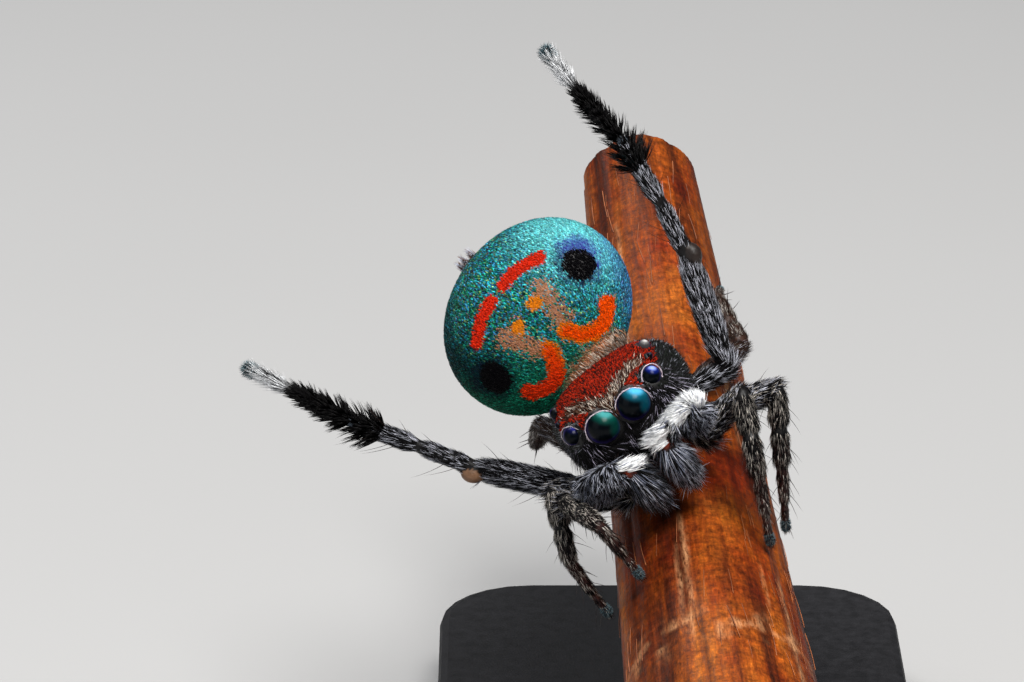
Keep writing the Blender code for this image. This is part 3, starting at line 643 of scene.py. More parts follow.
def palp_colours(places, u, chance):
    """A feeler is black, with a bare red ring where the arm meets the tip."""
    row = np.interp(u, PALPS[1].rows, np.arange(len(PALP_ROWS)))
    return blend(BLACK_SHELL, JOINT_RED, bell(row, PALP_RING, 0.24))


# The skin as one piece
# The shell, the soft bag and every limb are fused into one closed surface, so that no seam shows.
# It is dark under the hair, and the abdomen's skin carries the same pattern as its scales.

SKIN_GRAIN = 0.026  # the width of the small cubes that the forms are fused by
SKIN_SMOOTHING = 5  # rounds of smoothing after that
SPECK = 100  # a separate bit of the remesh with fewer corners than this is dropped
SKIN_FORMS = []


def add_skin(form, rings, points, paint):
    """Adds a form to the skin, as so many rings of so many points, and what paints it."""
    SKIN_FORMS.append((form, rings, points, paint))


def plain(colour):
    def paint(places, u, chance):
        return colour * (1 + 0.15 * ripple(places, 0.25, 3))[:, None]

    return paint


def leg_paint(pair, form):
    """Black, redder down the shins of the standing legs, with a blue grey joint before the raised brush,
    partly a painted highlight.
    """
    upper = BROWN_SHELL * 0.5 if pair == 4 else BLACK_SHELL
    lower = {3: BLACK_SHELL, 4: BROWN_SHELL}.get(pair, RED_SHELL)

    def paint(places, u, chance):
        colour = blend(upper, lower, smooth_step(0.62, 0.74, u))
        if pair == 3:
            # A pale blue grey band at the bare joint, partly its own colour and partly a painted highlight.
            colour = blend(colour, JOINT_BLUE, bell(u, form.joints[4], 0.010))
        return colour

    return paint


# How many rings along each form, and points round it, are fine enough for the remesh.
add_skin(carapace, 100, 120, shell_colours)
for kind in EYES:
    for side in SIDES.values():
        add_skin(socket(kind, side), 12, 32, plain(BLACK_SHELL))
add_skin(abdomen, 80, 96, lambda places, u, chance: abdomen_colours(places, chance) * 0.6)
add_skin(body_tube(WAIST_ROWS), 24, 24, plain(BROWN_SHELL * 0.35))
SPINNERETS = [spinneret(*offset) for offset in SPINNERET_OFFSETS]
for form in SPINNERETS:
    add_skin(form, 24, 20, plain(BLACK_SHELL))
JAWS = {side: body_tube(JAW_ROWS, side) for side in SIDES.values()}
PALPS = {side: body_tube(PALP_ROWS, side) for side in SIDES.values()}
for side in SIDES.values():
    add_skin(JAWS[side], 30, 28, plain(RED_SHELL * 0.5))
    add_skin(PALPS[side], 90, 28, palp_colours)
for (side_name, pair), form in LEGS.items():
    add_skin(form, 200, 28, leg_paint(pair, form))
for side_name in SIDES:
    add_skin(knob(side_name), 16, 24, plain(KNOB_BROWN[side_name]))


def ring_quads(rings, points):
    quads = []
    for i in range(rings - 1):
        for j in range(points):
            k = (j + 1) % points
            quads.append((i * points + j, i * points + k, (i + 1) * points + k, (i + 1) * points + j))
    return quads


def shell_arrays(form, rings, points):
    """A form as closed quads and end fans, and the share along it of each corner."""
    u = np.linspace(0.004, 0.996, rings)[:, None]
    grid = form(u, (np.arange(points) / points)[None, :])
    vertices = np.concatenate([grid.reshape(-1, 3), [grid[0].mean(0), grid[-1].mean(0)]])
    faces = ring_quads(rings, points)
    last_ring, first_end = (rings - 1) * points, rings * points
    for j in range(points):
        k = (j + 1) % points
        faces.append((k, j, first_end))
        faces.append((last_ring + j, last_ring + k, first_end + 1))
    return vertices, faces, np.broadcast_to(u, (rings, points)).reshape(-1)


def drop_specks(mesh):
    """Removes the closed bits of a voxel or two that the remesh leaves in narrow gaps."""
    body = bmesh.new()
    body.from_mesh(mesh)
    unseen = set(body.verts)
    specks = []
    while unseen:
        island = [unseen.pop()]
        for vertex in island:
            for edge in vertex.link_edges:
                other = edge.other_vert(vertex)
                if other in unseen:
                    unseen.remove(other)
                    island.append(other)
        if len(island) < SPECK:
            specks += island
    bmesh.ops.delete(body, geom=specks, context="VERTS")
    body.to_mesh(mesh)
    body.free()


def linked(name, data):
    """A new object in the scene."""
    made = bpy.data.objects.new(name, data)
    bpy.context.scene.collection.objects.link(made)
    return made


def fused_skin():
    """All forms joined, remeshed as one surface and smoothed, in millimetres."""
    vertices, faces, painted, colours = [], [], [], []
    chance = np.random.default_rng(11)
    count = 0
    for form, rings, points, paint in SKIN_FORMS:
        places, quads, shares = shell_arrays(form, rings, points)
        vertices.append(places)
        faces += [tuple(i + count for i in quad) for quad in quads]
        count += len(places)
        painted.append(places[:-2])
        colours.append(paint(places[:-2], shares, chance))
    mesh = bpy.data.meshes.new("skin_parts")
    mesh.from_pydata(np.concatenate(vertices).tolist(), [], faces)
    body = linked("skin_parts", mesh)
    remesh = body.modifiers.new("fuse", "REMESH")
    remesh.mode = "VOXEL"
    remesh.voxel_size = SKIN_GRAIN
    even = body.modifiers.new("even", "SMOOTH")
    even.iterations = SKIN_SMOOTHING
    even.factor = 0.5
    fused = bpy.data.meshes.new_from_object(body.evaluated_get(bpy.context.evaluated_depsgraph_get()))
    bpy.data.objects.remove(body)
    drop_specks(fused)
    return fused, np.concatenate(painted), np.concatenate(colours)


def coordinates(mesh):
    places = np.empty(len(mesh.vertices) * 3, np.float32)
    mesh.vertices.foreach_get("co", places)
    return places.reshape(-1, 3).astype(float)


def paint_mesh(mesh, name, colours):
    attribute = mesh.attributes.new(name, "FLOAT_COLOR", "POINT")
    values = np.column_stack([colours, np.ones(len(colours))])
    attribute.data.foreach_set("color", values.astype(np.float32).ravel())


skin_mesh, painted_places, painted_colours = fused_skin()
skin_places = coordinates(skin_mesh)
SKIN = BVHTree.FromPolygons(skin_places.tolist(), [tuple(p.vertices) for p in skin_mesh.polygons])
nearest_paint = KDTree(len(painted_places))
for i, place in enumerate(painted_places.tolist()):
    nearest_paint.insert(place, i)
nearest_paint.balance()
skin_colours = painted_colours[[nearest_paint.find(place)[1] for place in skin_places.tolist()]]


def new_material(name):
    material = bpy.data.materials.new(name)
    material.use_nodes = True
    return material, material.node_tree


def feed(tree, node, inputs):
    """Gives a node's inputs, by name or number, a value each or a socket to read."""
    for key, value in inputs.items():
        if isinstance(value, bpy.types.NodeSocket):
            tree.links.new(value, node.inputs[key])
        else:
            node.inputs[key].default_value = value


def add_node(tree, kind, inputs=None, **settings):
    """A new node's outputs, after its settings are made and its inputs fed."""
    node = tree.nodes.new(kind)
    for key, value in settings.items():
        setattr(node, key, value)
    feed(tree, node, inputs or {})
    return node.outputs


def surfaced(material, inputs):
    """The material, with its surface shader's inputs fed."""
    feed(material.node_tree, material.node_tree.nodes["Principled BSDF"], inputs)
    return material


def mapped(tree, vector, scale, rotation=(0, 0, 0)):
    inputs = {"Vector": vector, "Scale": scale, "Rotation": rotation}
    return add_node(tree, "ShaderNodeMapping", inputs)["Vector"]


def in_millimetres(tree, rotation=(0, 0, 0)):
    """Object coordinates scaled from metres, and turned."""
    return mapped(tree, add_node(tree, "ShaderNodeTexCoord")["Object"], (1000, 1000, 1000), rotation)


def noise(tree, scale, detail=4.0, roughness=0.6, vector=None):
    """Noise with that many waves to the millimetre."""
    inputs = {"Scale": scale, "Detail": detail, "Roughness": roughness}
    return add_node(tree, "ShaderNodeTexNoise", {"Vector": vector or in_millimetres(tree), **inputs})["Fac"]


def graded(tree, value, *colours, places=(0.3, 0.7)):
    """A value turned into colours, or into greys given as one number, that lie at places from 0 to 1."""
    node = tree.nodes.new("ShaderNodeValToRGB")
    feed(tree, node, {"Fac": value})
    stops = node.color_ramp.elements
    stops[0].position, stops[1].position = places[0], places[-1]
    for place in places[1:-1]:
        stops.new(place)
    for stop, colour in zip(stops, colours):
        stop.color = (*np.broadcast_to(colour, 3), 1)
    return node.outputs["Color"]


def multiplied(tree, first, second, share=1.0):
    inputs = {0: share, 6: first, 7: second}
    return add_node(tree, "ShaderNodeMix", inputs, data_type="RGBA", blend_type="MULTIPLY")[2]


def bumped(tree, height, distance, strength):
    """A surface's direction over fine relief of that many metres."""
    inputs = {"Height": height, "Distance": distance, "Strength": strength}
    return add_node(tree, "ShaderNodeBump", inputs)["Normal"]


def toned(tree, attribute, scale, detail, low, high):
    """A mesh's painted colour, darker and lighter by noise."""
    painted = add_node(tree, "ShaderNodeAttribute", attribute_name=attribute)["Color"]
    return multiplied(tree, painted, graded(tree, noise(tree, scale, detail), low, high))


def skin_finish():
    material, tree = new_material("spider_cuticle")
    grain = noise(tree, 40)
    return surfaced(material, {
        "Base Color": toned(tree, "skin_colour", 9, 4.0, 0.65, 1.25),
        "Roughness": graded(tree, grain, 0.28, 0.55),
        "Specular IOR Level": 0.3,
        "Normal": bumped(tree, grain, 0.000006, 0.8),
    })


FLESH_NODES = ["cephalothorax", "pedicel", "abdomen", "spinnerets"]
for side_name in SIDES:
    FLESH_NODES += [f"chelicera_{side_name}", f"palp_{side_name}_arm", f"palp_{side_name}_tip"]
    for pair in LEG_ROOTS:
        FLESH_NODES += [f"leg{pair}_{side_name}_{part}" for part in ("femur", "tibia", "tarsus")]


def finished(mesh, name, material, slot, *replaced):
    """Links a mesh that is in metres as a piece on the one body."""
    mesh.name = name
    mesh.materials.clear()
    mesh.materials.append(material)
    piece = linked(name, mesh)
    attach(piece, "root")
    if replaced:
        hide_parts(*replaced)
    return piece


paint_mesh(skin_mesh, "skin_colour", skin_colours)
skin_mesh.transform(Matrix.Scale(MM, 4))
skin_mesh.shade_smooth()
finished(skin_mesh, "spider_skin", skin_finish(), "cuticle", *FLESH_NODES)

# The eye lenses
# Eight clear domes of cuticle over dark cups. The four in front are large and shine teal and blue.
# Each lens is a deep dome that sits in its socket, with a bright crescent of painted highlight and painted
# reflections by the way it faces.

LENS_RINGS, LENS_POINTS = 28, 48
LENS_DEPTH, LENS_BACK = 0.55, 0.8  # how deep the cone runs and how wide its back is, as shares of the radius
# The pale grey of the left rear lens is a painted glare.
PUPIL_BLACK, REAR_GLARE_GREY = shade(3, 6, 10), shade(58, 56, 58)
# Each lens's bright and deep colours are a painted highlight and painted reflection; the right side's are
# darker, in painted shade.
EYE_COLOURS = {
    ("large", 1): (shade(86, 190, 236), shade(6, 80, 98)),
    ("large", -1): (shade(72, 156, 156), shade(5, 64, 56)),
    ("side", 1): (shade(150, 174, 255), shade(10, 26, 104)),
    ("side", -1): (shade(44, 48, 150), shade(6, 9, 52)),
    ("small", 1): (shade(60, 64, 76), shade(20, 22, 30)),
    ("small", -1): (shade(60, 64, 76), shade(20, 22, 30)),
    ("rear", 1): (shade(206, 202, 198), shade(104, 102, 102)),
    ("rear", -1): (shade(80, 78, 80), shade(34, 32, 34)),
}
# A painted reflection of violet on the edge that turns away from the front.
LIMB_VIOLET = shade(30, 22, 74)
SHINE_ABOVE = unit((0.12, -0.20, 0.97))
SHINE_BESIDE = unit((0.80, -0.58, 0.12))
TO_THE_FRONT = unit((0.0, -0.94, 0.34))


def lens(kind, side):
    """A dome on a short cone that runs back into the socket, painted with highlight and reflection by the
    way each place faces.
    """
    radius = EYES[kind][1]
    climb = np.pi / 2 * np.arange(LENS_RINGS) / LENS_RINGS
    heights = radius * np.concatenate([[-LENS_DEPTH], np.sin(climb)])
    sizes = radius * np.concatenate([[LENS_BACK], np.cos(climb)])
    ring = 2 * np.pi * np.arange(LENS_POINTS) / LENS_POINTS
    rows = [np.stack([s * np.cos(ring), s * np.sin(ring), ring * 0 + h], -1) for s, h in zip(sizes, heights)]
    places = np.concatenate([*rows, [(0, 0, radius)]])
    faces = ring_quads(len(rows), LENS_POINTS)
    top = LENS_RINGS * LENS_POINTS
    for j in range(LENS_POINTS):
        faces.append((top + j, top + (j + 1) % LENS_POINTS, len(places) - 1))
    faces.append(tuple(reversed(range(LENS_POINTS))))
    outwards = aimed(eye_place(kind, side), unit(places * (1, 1, 0.9)))
    bright, deep = EYE_COLOURS[kind, side]
    base = REAR_GLARE_GREY if (kind, side) == ("rear", 1) else PUPIL_BLACK
    # A painted reflection at the edge, then deep and bright painted highlights towards the shine above, and
    # on the large lenses beside.
    colour = blend(base, LIMB_VIOLET, smooth_step(0.62, 0.25, outwards @ TO_THE_FRONT))
    above = outwards @ SHINE_ABOVE
    if kind == "large":
        colour = blend(colour, deep, 0.5 * smooth_step(0.80, 1.0, outwards @ SHINE_BESIDE))
    else:
        above = above - 0.05
    colour = blend(colour, deep, smooth_step(0.52, 0.86, above))
    colour = blend(colour, bright, smooth_step(0.80, 1.0, above))
    mesh = bpy.data.meshes.new("lens")
    mesh.from_pydata((placed(eye_place(kind, side), places) * MM).tolist(), [], faces)
    paint_mesh(mesh, "lens_colour", colour)
    mesh.shade_smooth()
    mesh.set_sharp_from_angle(angle=math.radians(50))
    return mesh


def lens_finish():
    material, tree = new_material("eye_lens_gloss")
    return surfaced(material, {
        "Base Color": toned(tree, "lens_colour", 14, 2.0, 0.85, 1.12),
        "Roughness": 0.28,
        "Specular IOR Level": 0.06,
        "Coat Weight": 0.06,
        "Coat Roughness": 0.06,
    })


eye_gloss = lens_finish()
for kind in EYES:
    for side_name, side in SIDES.items():
        name = f"{kind}_{side_name}"
        finished(lens(kind, side), f"lens_{name}", eye_gloss, "eye_lens", f"eye_{name}")

# The pale rims of the eyes
# A ring of tiny flat pinkish white hairs lies round each of the four front lenses.
# One tree of nodes lays the hairs along a circle, and each eye sets its radius and count.

RIM_TREE_INPUTS = {"Radius": 0.2, "Count": 80, "Hair Length": 0.045, "Hair Width": 0.005, "Seed": 1}


def new_tree(name, settings, reads_mesh=False):
    """A tree of geometry nodes with named inputs, and the sockets inside it that give them."""
    tree = bpy.data.node_groups.new(name, "GeometryNodeTree")
    if reads_mesh:
        tree.interface.new_socket(name="Geometry", in_out="INPUT", socket_type="NodeSocketGeometry")
    for key, value in settings.items():
        kind = "NodeSocketInt" if isinstance(value, int) else "NodeSocketFloat"
        tree.interface.new_socket(name=key, in_out="INPUT", socket_type=kind).default_value = value
    tree.interface.new_socket(name="Geometry", in_out="OUTPUT", socket_type="NodeSocketGeometry")
    return tree, add_node(tree, "NodeGroupInput")


def lay_copies(tree, shape, points, rotation, stray, sizes, seed, material):
    """Ends a tree with copies of a shape on points, turned and sized by chance between limits."""
    stray = {"Min": stray[0], "Max": stray[1], "Seed": seed}
    tilt = add_node(tree, "FunctionNodeRandomValue", stray, data_type="FLOAT_VECTOR")["Value"]
    turned = {"Rotation": rotation, "Rotate By": tilt}
    turned = add_node(tree, "FunctionNodeRotateRotation", turned, rotation_space="LOCAL")["Rotation"]
    size = add_node(tree, "FunctionNodeRandomValue", {2: sizes[0], 3: sizes[1], "Seed": seed})[1]
    copies = {"Points": points, "Instance": shape, "Rotation": turned, "Scale": size}
    laid = add_node(tree, "GeometryNodeInstanceOnPoints", copies)["Instances"]
    real = add_node(tree, "GeometryNodeRealizeInstances", {"Geometry": laid})["Geometry"]
    done = add_node(tree, "GeometryNodeSetMaterial", {"Geometry": real, "Material": material})["Geometry"]
    add_node(tree, "NodeGroupOutput", {"Geometry": done})


def rim_tree(material):
    tree, given = new_tree("eye_rim_of_hairs", RIM_TREE_INPUTS)
    circle = add_node(tree, "GeometryNodeCurvePrimitiveCircle", {"Radius": given["Radius"]})["Curve"]
    points = add_node(tree, "GeometryNodeCurveToPoints", {"Curve": circle, "Count": given["Count"]})
    cone = {"Vertices": 4, "Radius Top": 0.0, "Radius Bottom": given["Hair Width"]}
    hair = add_node(tree, "GeometryNodeMeshCone", {"Depth": given["Hair Length"], **cone})["Mesh"]
    stray = ((-0.30, -0.30, 0.0), (0.30, 0.05, 3.0))
    lay_copies(tree, hair, points["Points"], points["Rotation"], stray, (0.7, 1.25), given["Seed"], material)
    return tree


def made_by(tree, name, settings, start=None):
    """The plain mesh that a tree makes with its named inputs set."""
    carrier = linked(name, start or bpy.data.meshes.new(name))
    modifier = carrier.modifiers.new(name, "NODES")
    modifier.node_group = tree
    for item in tree.interface.items_tree:
        if item.in_out == "INPUT" and item.name in settings:
            modifier[item.identifier] = settings[item.name]
    mesh = bpy.data.meshes.new_from_object(carrier.evaluated_get(bpy.context.evaluated_depsgraph_get()))
    carrier.modifiers.remove(modifier)
    bpy.data.objects.remove(carrier)
    return mesh


def rim_finish():
    material, tree = new_material("eye_rim_hair")
    mauve, pale = shade(160, 144, 160), shade(234, 222, 232)
    return surfaced(material, {
        "Base Color": graded(tree, noise(tree, 30, 2.0), mauve, pale, places=(0.35, 0.65)),
        "Roughness": 0.55,
        "Sheen Weight": 0.3,
    })


rim_hair = rim_finish()
rims = rim_tree(rim_hair)
# Radius, how far it lies before the lens's widest ring, and the number of hairs.
RIMS = {"large": (0.221, 0.064, 170), "side": (0.140, 0.020, 100)}
SHADED_RIM = {"Count": 36, "Hair Width": 0.004}  # the right side's outer rim gets fewer, thinner hairs, to dim it as in shade
for kind, (radius, forward, count) in RIMS.items():
    for side_name, side in SIDES.items():
        settings = {"Radius": radius, "Count": count, "Seed": 3 + side}
        if (kind, side) == ("side", -1):
            settings |= SHADED_RIM
        mesh = made_by(rims, f"rim_{kind}_{side_name}", settings)
        mesh.transform(Matrix.Scale(MM, 4) @ eye_place(kind, side) @ Matrix.Translation((0, 0, forward)))
        finished(mesh, f"eye_rim_{kind}_{side_name}", rim_hair, "white_hair")

# The scales of the abdomen
# Flat pointed scales overlap like shingles from the waist to the rear, each with its own glint.
# They are laid as one mesh for the back and one for the belly.

EVEN_STEPS = np.array((0.7548776662, 0.5698402910))  # steps that fill a square evenly


def even_places(count, start=0.0):
    """The two shares from 0 to 1 of places that fill a square evenly."""
    return ((start + EVEN_STEPS * np.arange(count)[:, None]) % 1).T


def spread(form, count, start):
    """Even places over a form, as shares along it and round it."""
    cells = 96
    centre = (np.arange(cells) + 0.5) / cells
    grid = form(centre[:, None], centre[None, :])
    area = np.linalg.norm(np.cross(np.gradient(grid, axis=0), np.gradient(grid, axis=1)), axis=-1)
    rows = np.concatenate([[0], area.sum(1).cumsum()])
    columns = np.concatenate([np.zeros((cells, 1)), area.cumsum(1)], axis=1)
    columns /= columns[:, -1:]
    a, b = even_places(count, start)
    u = np.interp(a, rows / rows[-1], np.linspace(0, 1, cells + 1))
    row = columns[np.minimum((u * cells).astype(int), cells - 1)]
    low = np.clip((row < b[:, None]).sum(1) - 1, 0, cells - 1)
    each = np.arange(count)
    left, right = row[each, low], row[each, low + 1]
    v = (low + (b - left) / np.maximum(right - left, 1e-9)) / cells
    return u, v


def on_skin(places):
    found = [SKIN.find_nearest(p) for p in places.tolist()]
    return np.array([tuple(f[0]) for f in found]), np.array([tuple(f[1]) for f in found])


def along_skin(heading, outwards):
    """The way along the skin that comes nearest to a heading."""
    return unit(heading - outwards * np.sum(heading * outwards, axis=1, keepdims=True))


def grown_from(form, u, v):
    """Root places on the skin, the way out of it, and the way along it to the form's end."""
    step = 0.004
    ahead = form(np.clip(u + step, 0, 1), v) - form(np.clip(u - step, 0, 1), v)
    places, outwards = on_skin(form(u, v))
    return places, outwards, along_skin(ahead, outwards)


def leant(aim, outwards, degrees):
    """A direction lifted off the skin by an angle."""
    tilt = np.radians(np.asarray(degrees, float))[..., None]
    return unit(aim * np.cos(tilt) + outwards * np.sin(tilt))


def swung(aim, outwards, degrees):
    """A direction turned about the way out of the skin."""
    angle = np.radians(np.asarray(degrees, float))[..., None]
    return unit(aim * np.cos(angle) + np.cross(outwards, aim) * np.sin(angle))


def ruffled(chance, lie, outwards, swing, lean, fan=0.0):
    """Ways that hairs lie, swung about their roots and leant off the skin by chance, in degrees."""
    turned = swung(lie, outwards, chance.normal(scale=swing, size=len(lie)) - fan)
    return leant(turned, outwards, chance.uniform(*lean, size=len(lie)))


ROOT_DEPTH = 0.010  # how far a hair's root lies inside the skin
PATCH_SIZE = 0.003  # a tuft's patch on its coat's map


def scales(places, outwards, aim, lengths, widths):
    """Flat pointed scales as arrays: corner places, one scale's triangles, and each corner's place on it."""
    across = unit(np.cross(aim, outwards))
    up = np.cross(across, aim)
    length, width = lengths[:, None], np.broadcast_to(widths, lengths.shape)[:, None]
    root = places - outwards * ROOT_DEPTH
    middle = places + aim * (0.5 * length)
    corners = (
        root,
        middle - across * (width / 2),
        middle + across * (width / 2),
        places + aim * length,
        middle + up * (0.18 * width),
    )
    triangles = ((0, 2, 4), (2, 3, 4), (3, 1, 4), (1, 0, 4), (0, 1, 2), (1, 3, 2))
    local = ((0, -0.5), (-0.5, 0), (0.5, 0), (0, 0.5), (0, 0))
    return np.stack(corners, 1), np.array(triangles), np.array(local)


# Places along a hair and how wide it is there, as shares of its length and of its width.
HAIR_ROWS = ((0.0, 1.0), (0.5, 0.72))
LONG_HAIR_ROWS = ((0.0, 0.8), (0.3, 1.0), (0.68, 0.66))
HAIR_THICKNESS = 0.55  # as a share of the width


def hairs(places, outwards, aim, bend, lengths, widths, curve, rows=HAIR_ROWS):
    """Three sided tapered hairs that bend over their length, as arrays."""
    across = unit(np.cross(aim, outwards))
    up = np.cross(across, aim)
    length, width = lengths[:, None], np.broadcast_to(widths, lengths.shape)[:, None]
    root = places - outwards * ROOT_DEPTH
    corners, local = [], []
    for share, size in rows:
        centre = root + aim * (length * share) + bend * (length * curve * share**2)
        for i in range(3):
            t = 2 * math.pi * (i + 0.25) / 3
            side = across * (math.cos(t) * 0.5 * size * width)
            corners.append(centre + side + up * (math.sin(t) * 0.5 * size * HAIR_THICKNESS * width))
            local.append((math.cos(t) * 0.5, share - 0.5))
    corners.append(root + aim * length + bend * (length * curve))
    local.append((0, 0.5))
    triangles = [(0, 1, 2)]
    for ring in range(len(rows) - 1):
        for i in range(3):
            j = (i + 1) % 3
            low, high = 3 * ring, 3 * ring + 3
            triangles += [(low + i, high + j, low + j), (low + i, high + i, high + j)]
    top = 3 * (len(rows) - 1)
    triangles += [(top + i, 3 * len(rows), top + (i + 1) % 3) for i in range(3)]
    return np.stack(corners, 1), np.array(triangles), np.array(local)


ROOT_SHADE, TIP_SHADE = 0.55, 1.15  # painted shade and light: a tuft is darker at its root, deep in the coat, and lighter at its tip


def coat(name, batches, material, slot, root_shade=ROOT_SHADE):
    """One joined mesh of tufts: each batch is (arrays, colours, map places)."""
    places, triangles, colours, patches = [], [], [], []
    count = 0
    for (corners, faces, local), colour, spots in batches:
        tufts, size = corners.shape[:2]
        places.append(corners.reshape(-1, 3))
        offsets = count + np.arange(tufts)[:, None, None] * size
        triangles.append((faces[None] + offsets).reshape(-1, 3))
        fade = mixed(root_shade, TIP_SHADE, local[:, 1] + 0.5)
        colours.append((colour[:, None, :] * fade[None, :, None]).reshape(-1, 3))
        patches.append((spots[:, None, :] + local[None] * PATCH_SIZE).reshape(-1, 2))
        count += tufts * size
    places, triangles = np.concatenate(places), np.concatenate(triangles)
    mesh = bpy.data.meshes.new(name)
    mesh.vertices.add(len(places))
    mesh.vertices.foreach_set("co", (places * MM).astype(np.float32).ravel())
    mesh.loops.add(triangles.size)
    mesh.loops.foreach_set("vertex_index", triangles.astype(np.int32).ravel())
    mesh.polygons.add(len(triangles))
    mesh.polygons.foreach_set("loop_start", np.arange(0, triangles.size, 3, dtype=np.int32))
    paint_mesh(mesh, "coat_colour", np.concatenate(colours))
    bake_map = mesh.uv_layers.new(name="OFBake")
    bake_map.data.foreach_set("uv", np.concatenate(patches)[triangles.ravel()].astype(np.float32).ravel())
    mesh.update(calc_edges=True)
    mesh.shade_smooth()
    return finished(mesh, name, material, slot)


def on_map(u, v, left=0.0, width=1.0):
    """Places on the unwrap of a form: round it across the map, along it up the map."""
    return np.stack([left + width * (0.01 + 0.98 * (v % 1)), 0.01 + 0.98 * u], -1)


def coat_finish(name, roughness, metallic=0.0, sheen=0.0, specular=0.12):
    material, tree = new_material(name)
    return surfaced(material, {
        "Base Color": toned(tree, "coat_colour", 24, 3.0, 0.75, 1.2),
        "Roughness": graded(tree, noise(tree, 55, 2.0), roughness * 0.75, roughness * 1.3),
        "Metallic": metallic,
        "Sheen Weight": sheen,
        "Specular IOR Level": specular,
    })


SCALE_LENGTH, SCALE_WIDTH = 0.050, 0.022
BACK_SCALES, BELLY_SCALES = 48000, 12000
BELLY_LINE = -0.16  # the belly's coarser scales start this far below the widest line


def abdomen_scales(count, start, back):
    chance = np.random.default_rng(21 + back)
    u, v = spread(abdomen, count, start)
    local = placed(ABDOMEN.inverted(), abdomen(u, v))
    kept = (local[:, 2] > BELLY_LINE) == back
    u, v = u[kept], v[kept]
    places, outwards, lie = grown_from(abdomen, u, v)
    aim = ruffled(chance, lie, outwards, 16, (4, 20))
    grow = 1.0 if back else 1.5
    lengths = SCALE_LENGTH * grow * chance.uniform(0.75, 1.25, size=len(u))
    widths = SCALE_WIDTH * grow * chance.uniform(0.8, 1.2, size=len(u))
    colours = abdomen_colours(places, chance)
    return scales(places, outwards, aim, lengths, widths), colours, on_map(u, v)


scale_finish = coat_finish("abdomen_scale_glint", 0.32, 0.45, 0.0, 0.06)
coat("abdomen_back_scales", [abdomen_scales(BACK_SCALES, 0.5, True)], scale_finish, "blue_scales")
coat("abdomen_belly_scales", [abdomen_scales(BELLY_SCALES, 0.2, False)], scale_finish, "blue_scales")

# The apron and fringe of the abdomen
# Soft brown and cream hairs hang forward over the waist edge, and brown ones lie in the two patches.
# The spinnerets end in pale tufts.

CREAM = shade(228, 208, 190)
HAIR_BROWN = shade(120, 80, 60)
SILVER = shade(196, 200, 214)
DARK_HAIR = shade(12, 11, 13)


def picked(chance, count, *choices):
    """Colours drawn for each hair from choices of (share, colour), with a little change of tone."""
    shares = np.array([share for share, _ in choices], float)
    index = chance.choice(len(choices), size=count, p=shares / shares.sum())
    colours = np.array([colour for _, colour in choices])[index]
    return colours * chance.uniform(0.75, 1.2, size=count)[:, None]


APRON_ROOTS, SPINNERET_ROOTS = 30000, 260
SPINNERET_TUFT = 0.35  # the hairs of a spinneret grow beyond this share of it


def towards_waist(chance, roots, lean, reach, choices, width):
    """Hairs that lie over the abdomen towards the waist."""
    places, outwards, spots = roots
    forwards = aimed(ABDOMEN, (0.0, -1.0, 0.0))
    aim = ruffled(chance, along_skin(forwards, outwards), outwards, 13, lean)
    lengths = chance.uniform(*reach, size=len(places))
    colours = picked(chance, len(places), *choices)
    return hairs(places, outwards, aim, -outwards, lengths, width, 0.12), colours, spots


def abdomen_hairs():
    chance = np.random.default_rng(31)
    u, v = spread(abdomen, APRON_ROOTS, 0.3)
    local = placed(ABDOMEN.inverted(), abdomen(u, v))
    off_hooks = hook_distance(local) > HOOK_WIDTH
    edge = smooth_step(APRON_FRONT + 0.06, APRON_FRONT - 0.03, local[:, 1])
    edge *= smooth_step(APRON_HALF_WIDTH + 0.06, APRON_HALF_WIDTH - 0.12, np.abs(local[:, 0]))
    edge *= smooth_step(-0.25, -0.05, local[:, 2]) * off_hooks

    def roots(chosen):
        return (*on_skin(abdomen(u[chosen], v[chosen])), on_map(u[chosen], v[chosen]))

    fringe = roots(chance.uniform(size=len(u)) < edge)
    shades = ((0.60, CREAM), (0.27, PATCH_BROWN), (0.13, HAIR_BROWN))
    fringe = towards_waist(chance, fringe, (18, 42), (0.10, 0.20), shades, 0.0105)
    brown = (stroke_distance(local, PATCH) < PATCH_WIDTH - 0.02) & off_hooks
    brown &= stroke_distance(local, DOT) > DOT_WIDTH - 0.02
    patches = roots(brown & (chance.uniform(size=len(u)) < 0.5))
    shades = ((0.62, PATCH_BROWN), (0.16, HAIR_BROWN), (0.22, TURQUOISE))
    patches = towards_waist(chance, patches, (8, 22), (0.07, 0.12), shades, 0.011)
    return [fringe, patches]


def spinneret_hairs():
    chance = np.random.default_rng(33)
    batches = []
    for i, form in enumerate(SPINNERETS):
        u, v = spread(form, SPINNERET_ROOTS, 0.1 * i)
        u, v = u[u > SPINNERET_TUFT], v[u > SPINNERET_TUFT]
        places, outwards, lie = grown_from(form, u, v)
        aim = leant(lie, outwards, chance.uniform(10, 30, size=len(u)))
        lengths = chance.uniform(0.07, 0.13, size=len(u))
        colours = picked(chance, len(u), (0.6, SILVER), (0.4, HAIR_BROWN))
        tufts = hairs(places, outwards, aim, lie, lengths, 0.010, 0.1)
        batches.append((tufts, colours, on_map(u, v, i / 3, 1 / 3)))
    return batches


soft_hair = coat_finish("soft_hair", 0.55, 0.0, 0.03, 0.07)
coat("abdomen_apron_hair", abdomen_hairs(), soft_hair, "white_hair", 0.8)
coat("spinneret_hair", spinneret_hairs(), soft_hair, "grey_hair")

# The coat of the head
# Red and beige scales lie back over the crown, short dark hairs cover the cheeks and the rear slope.
# Longer lilac grey hairs hang down the face below the eyes.

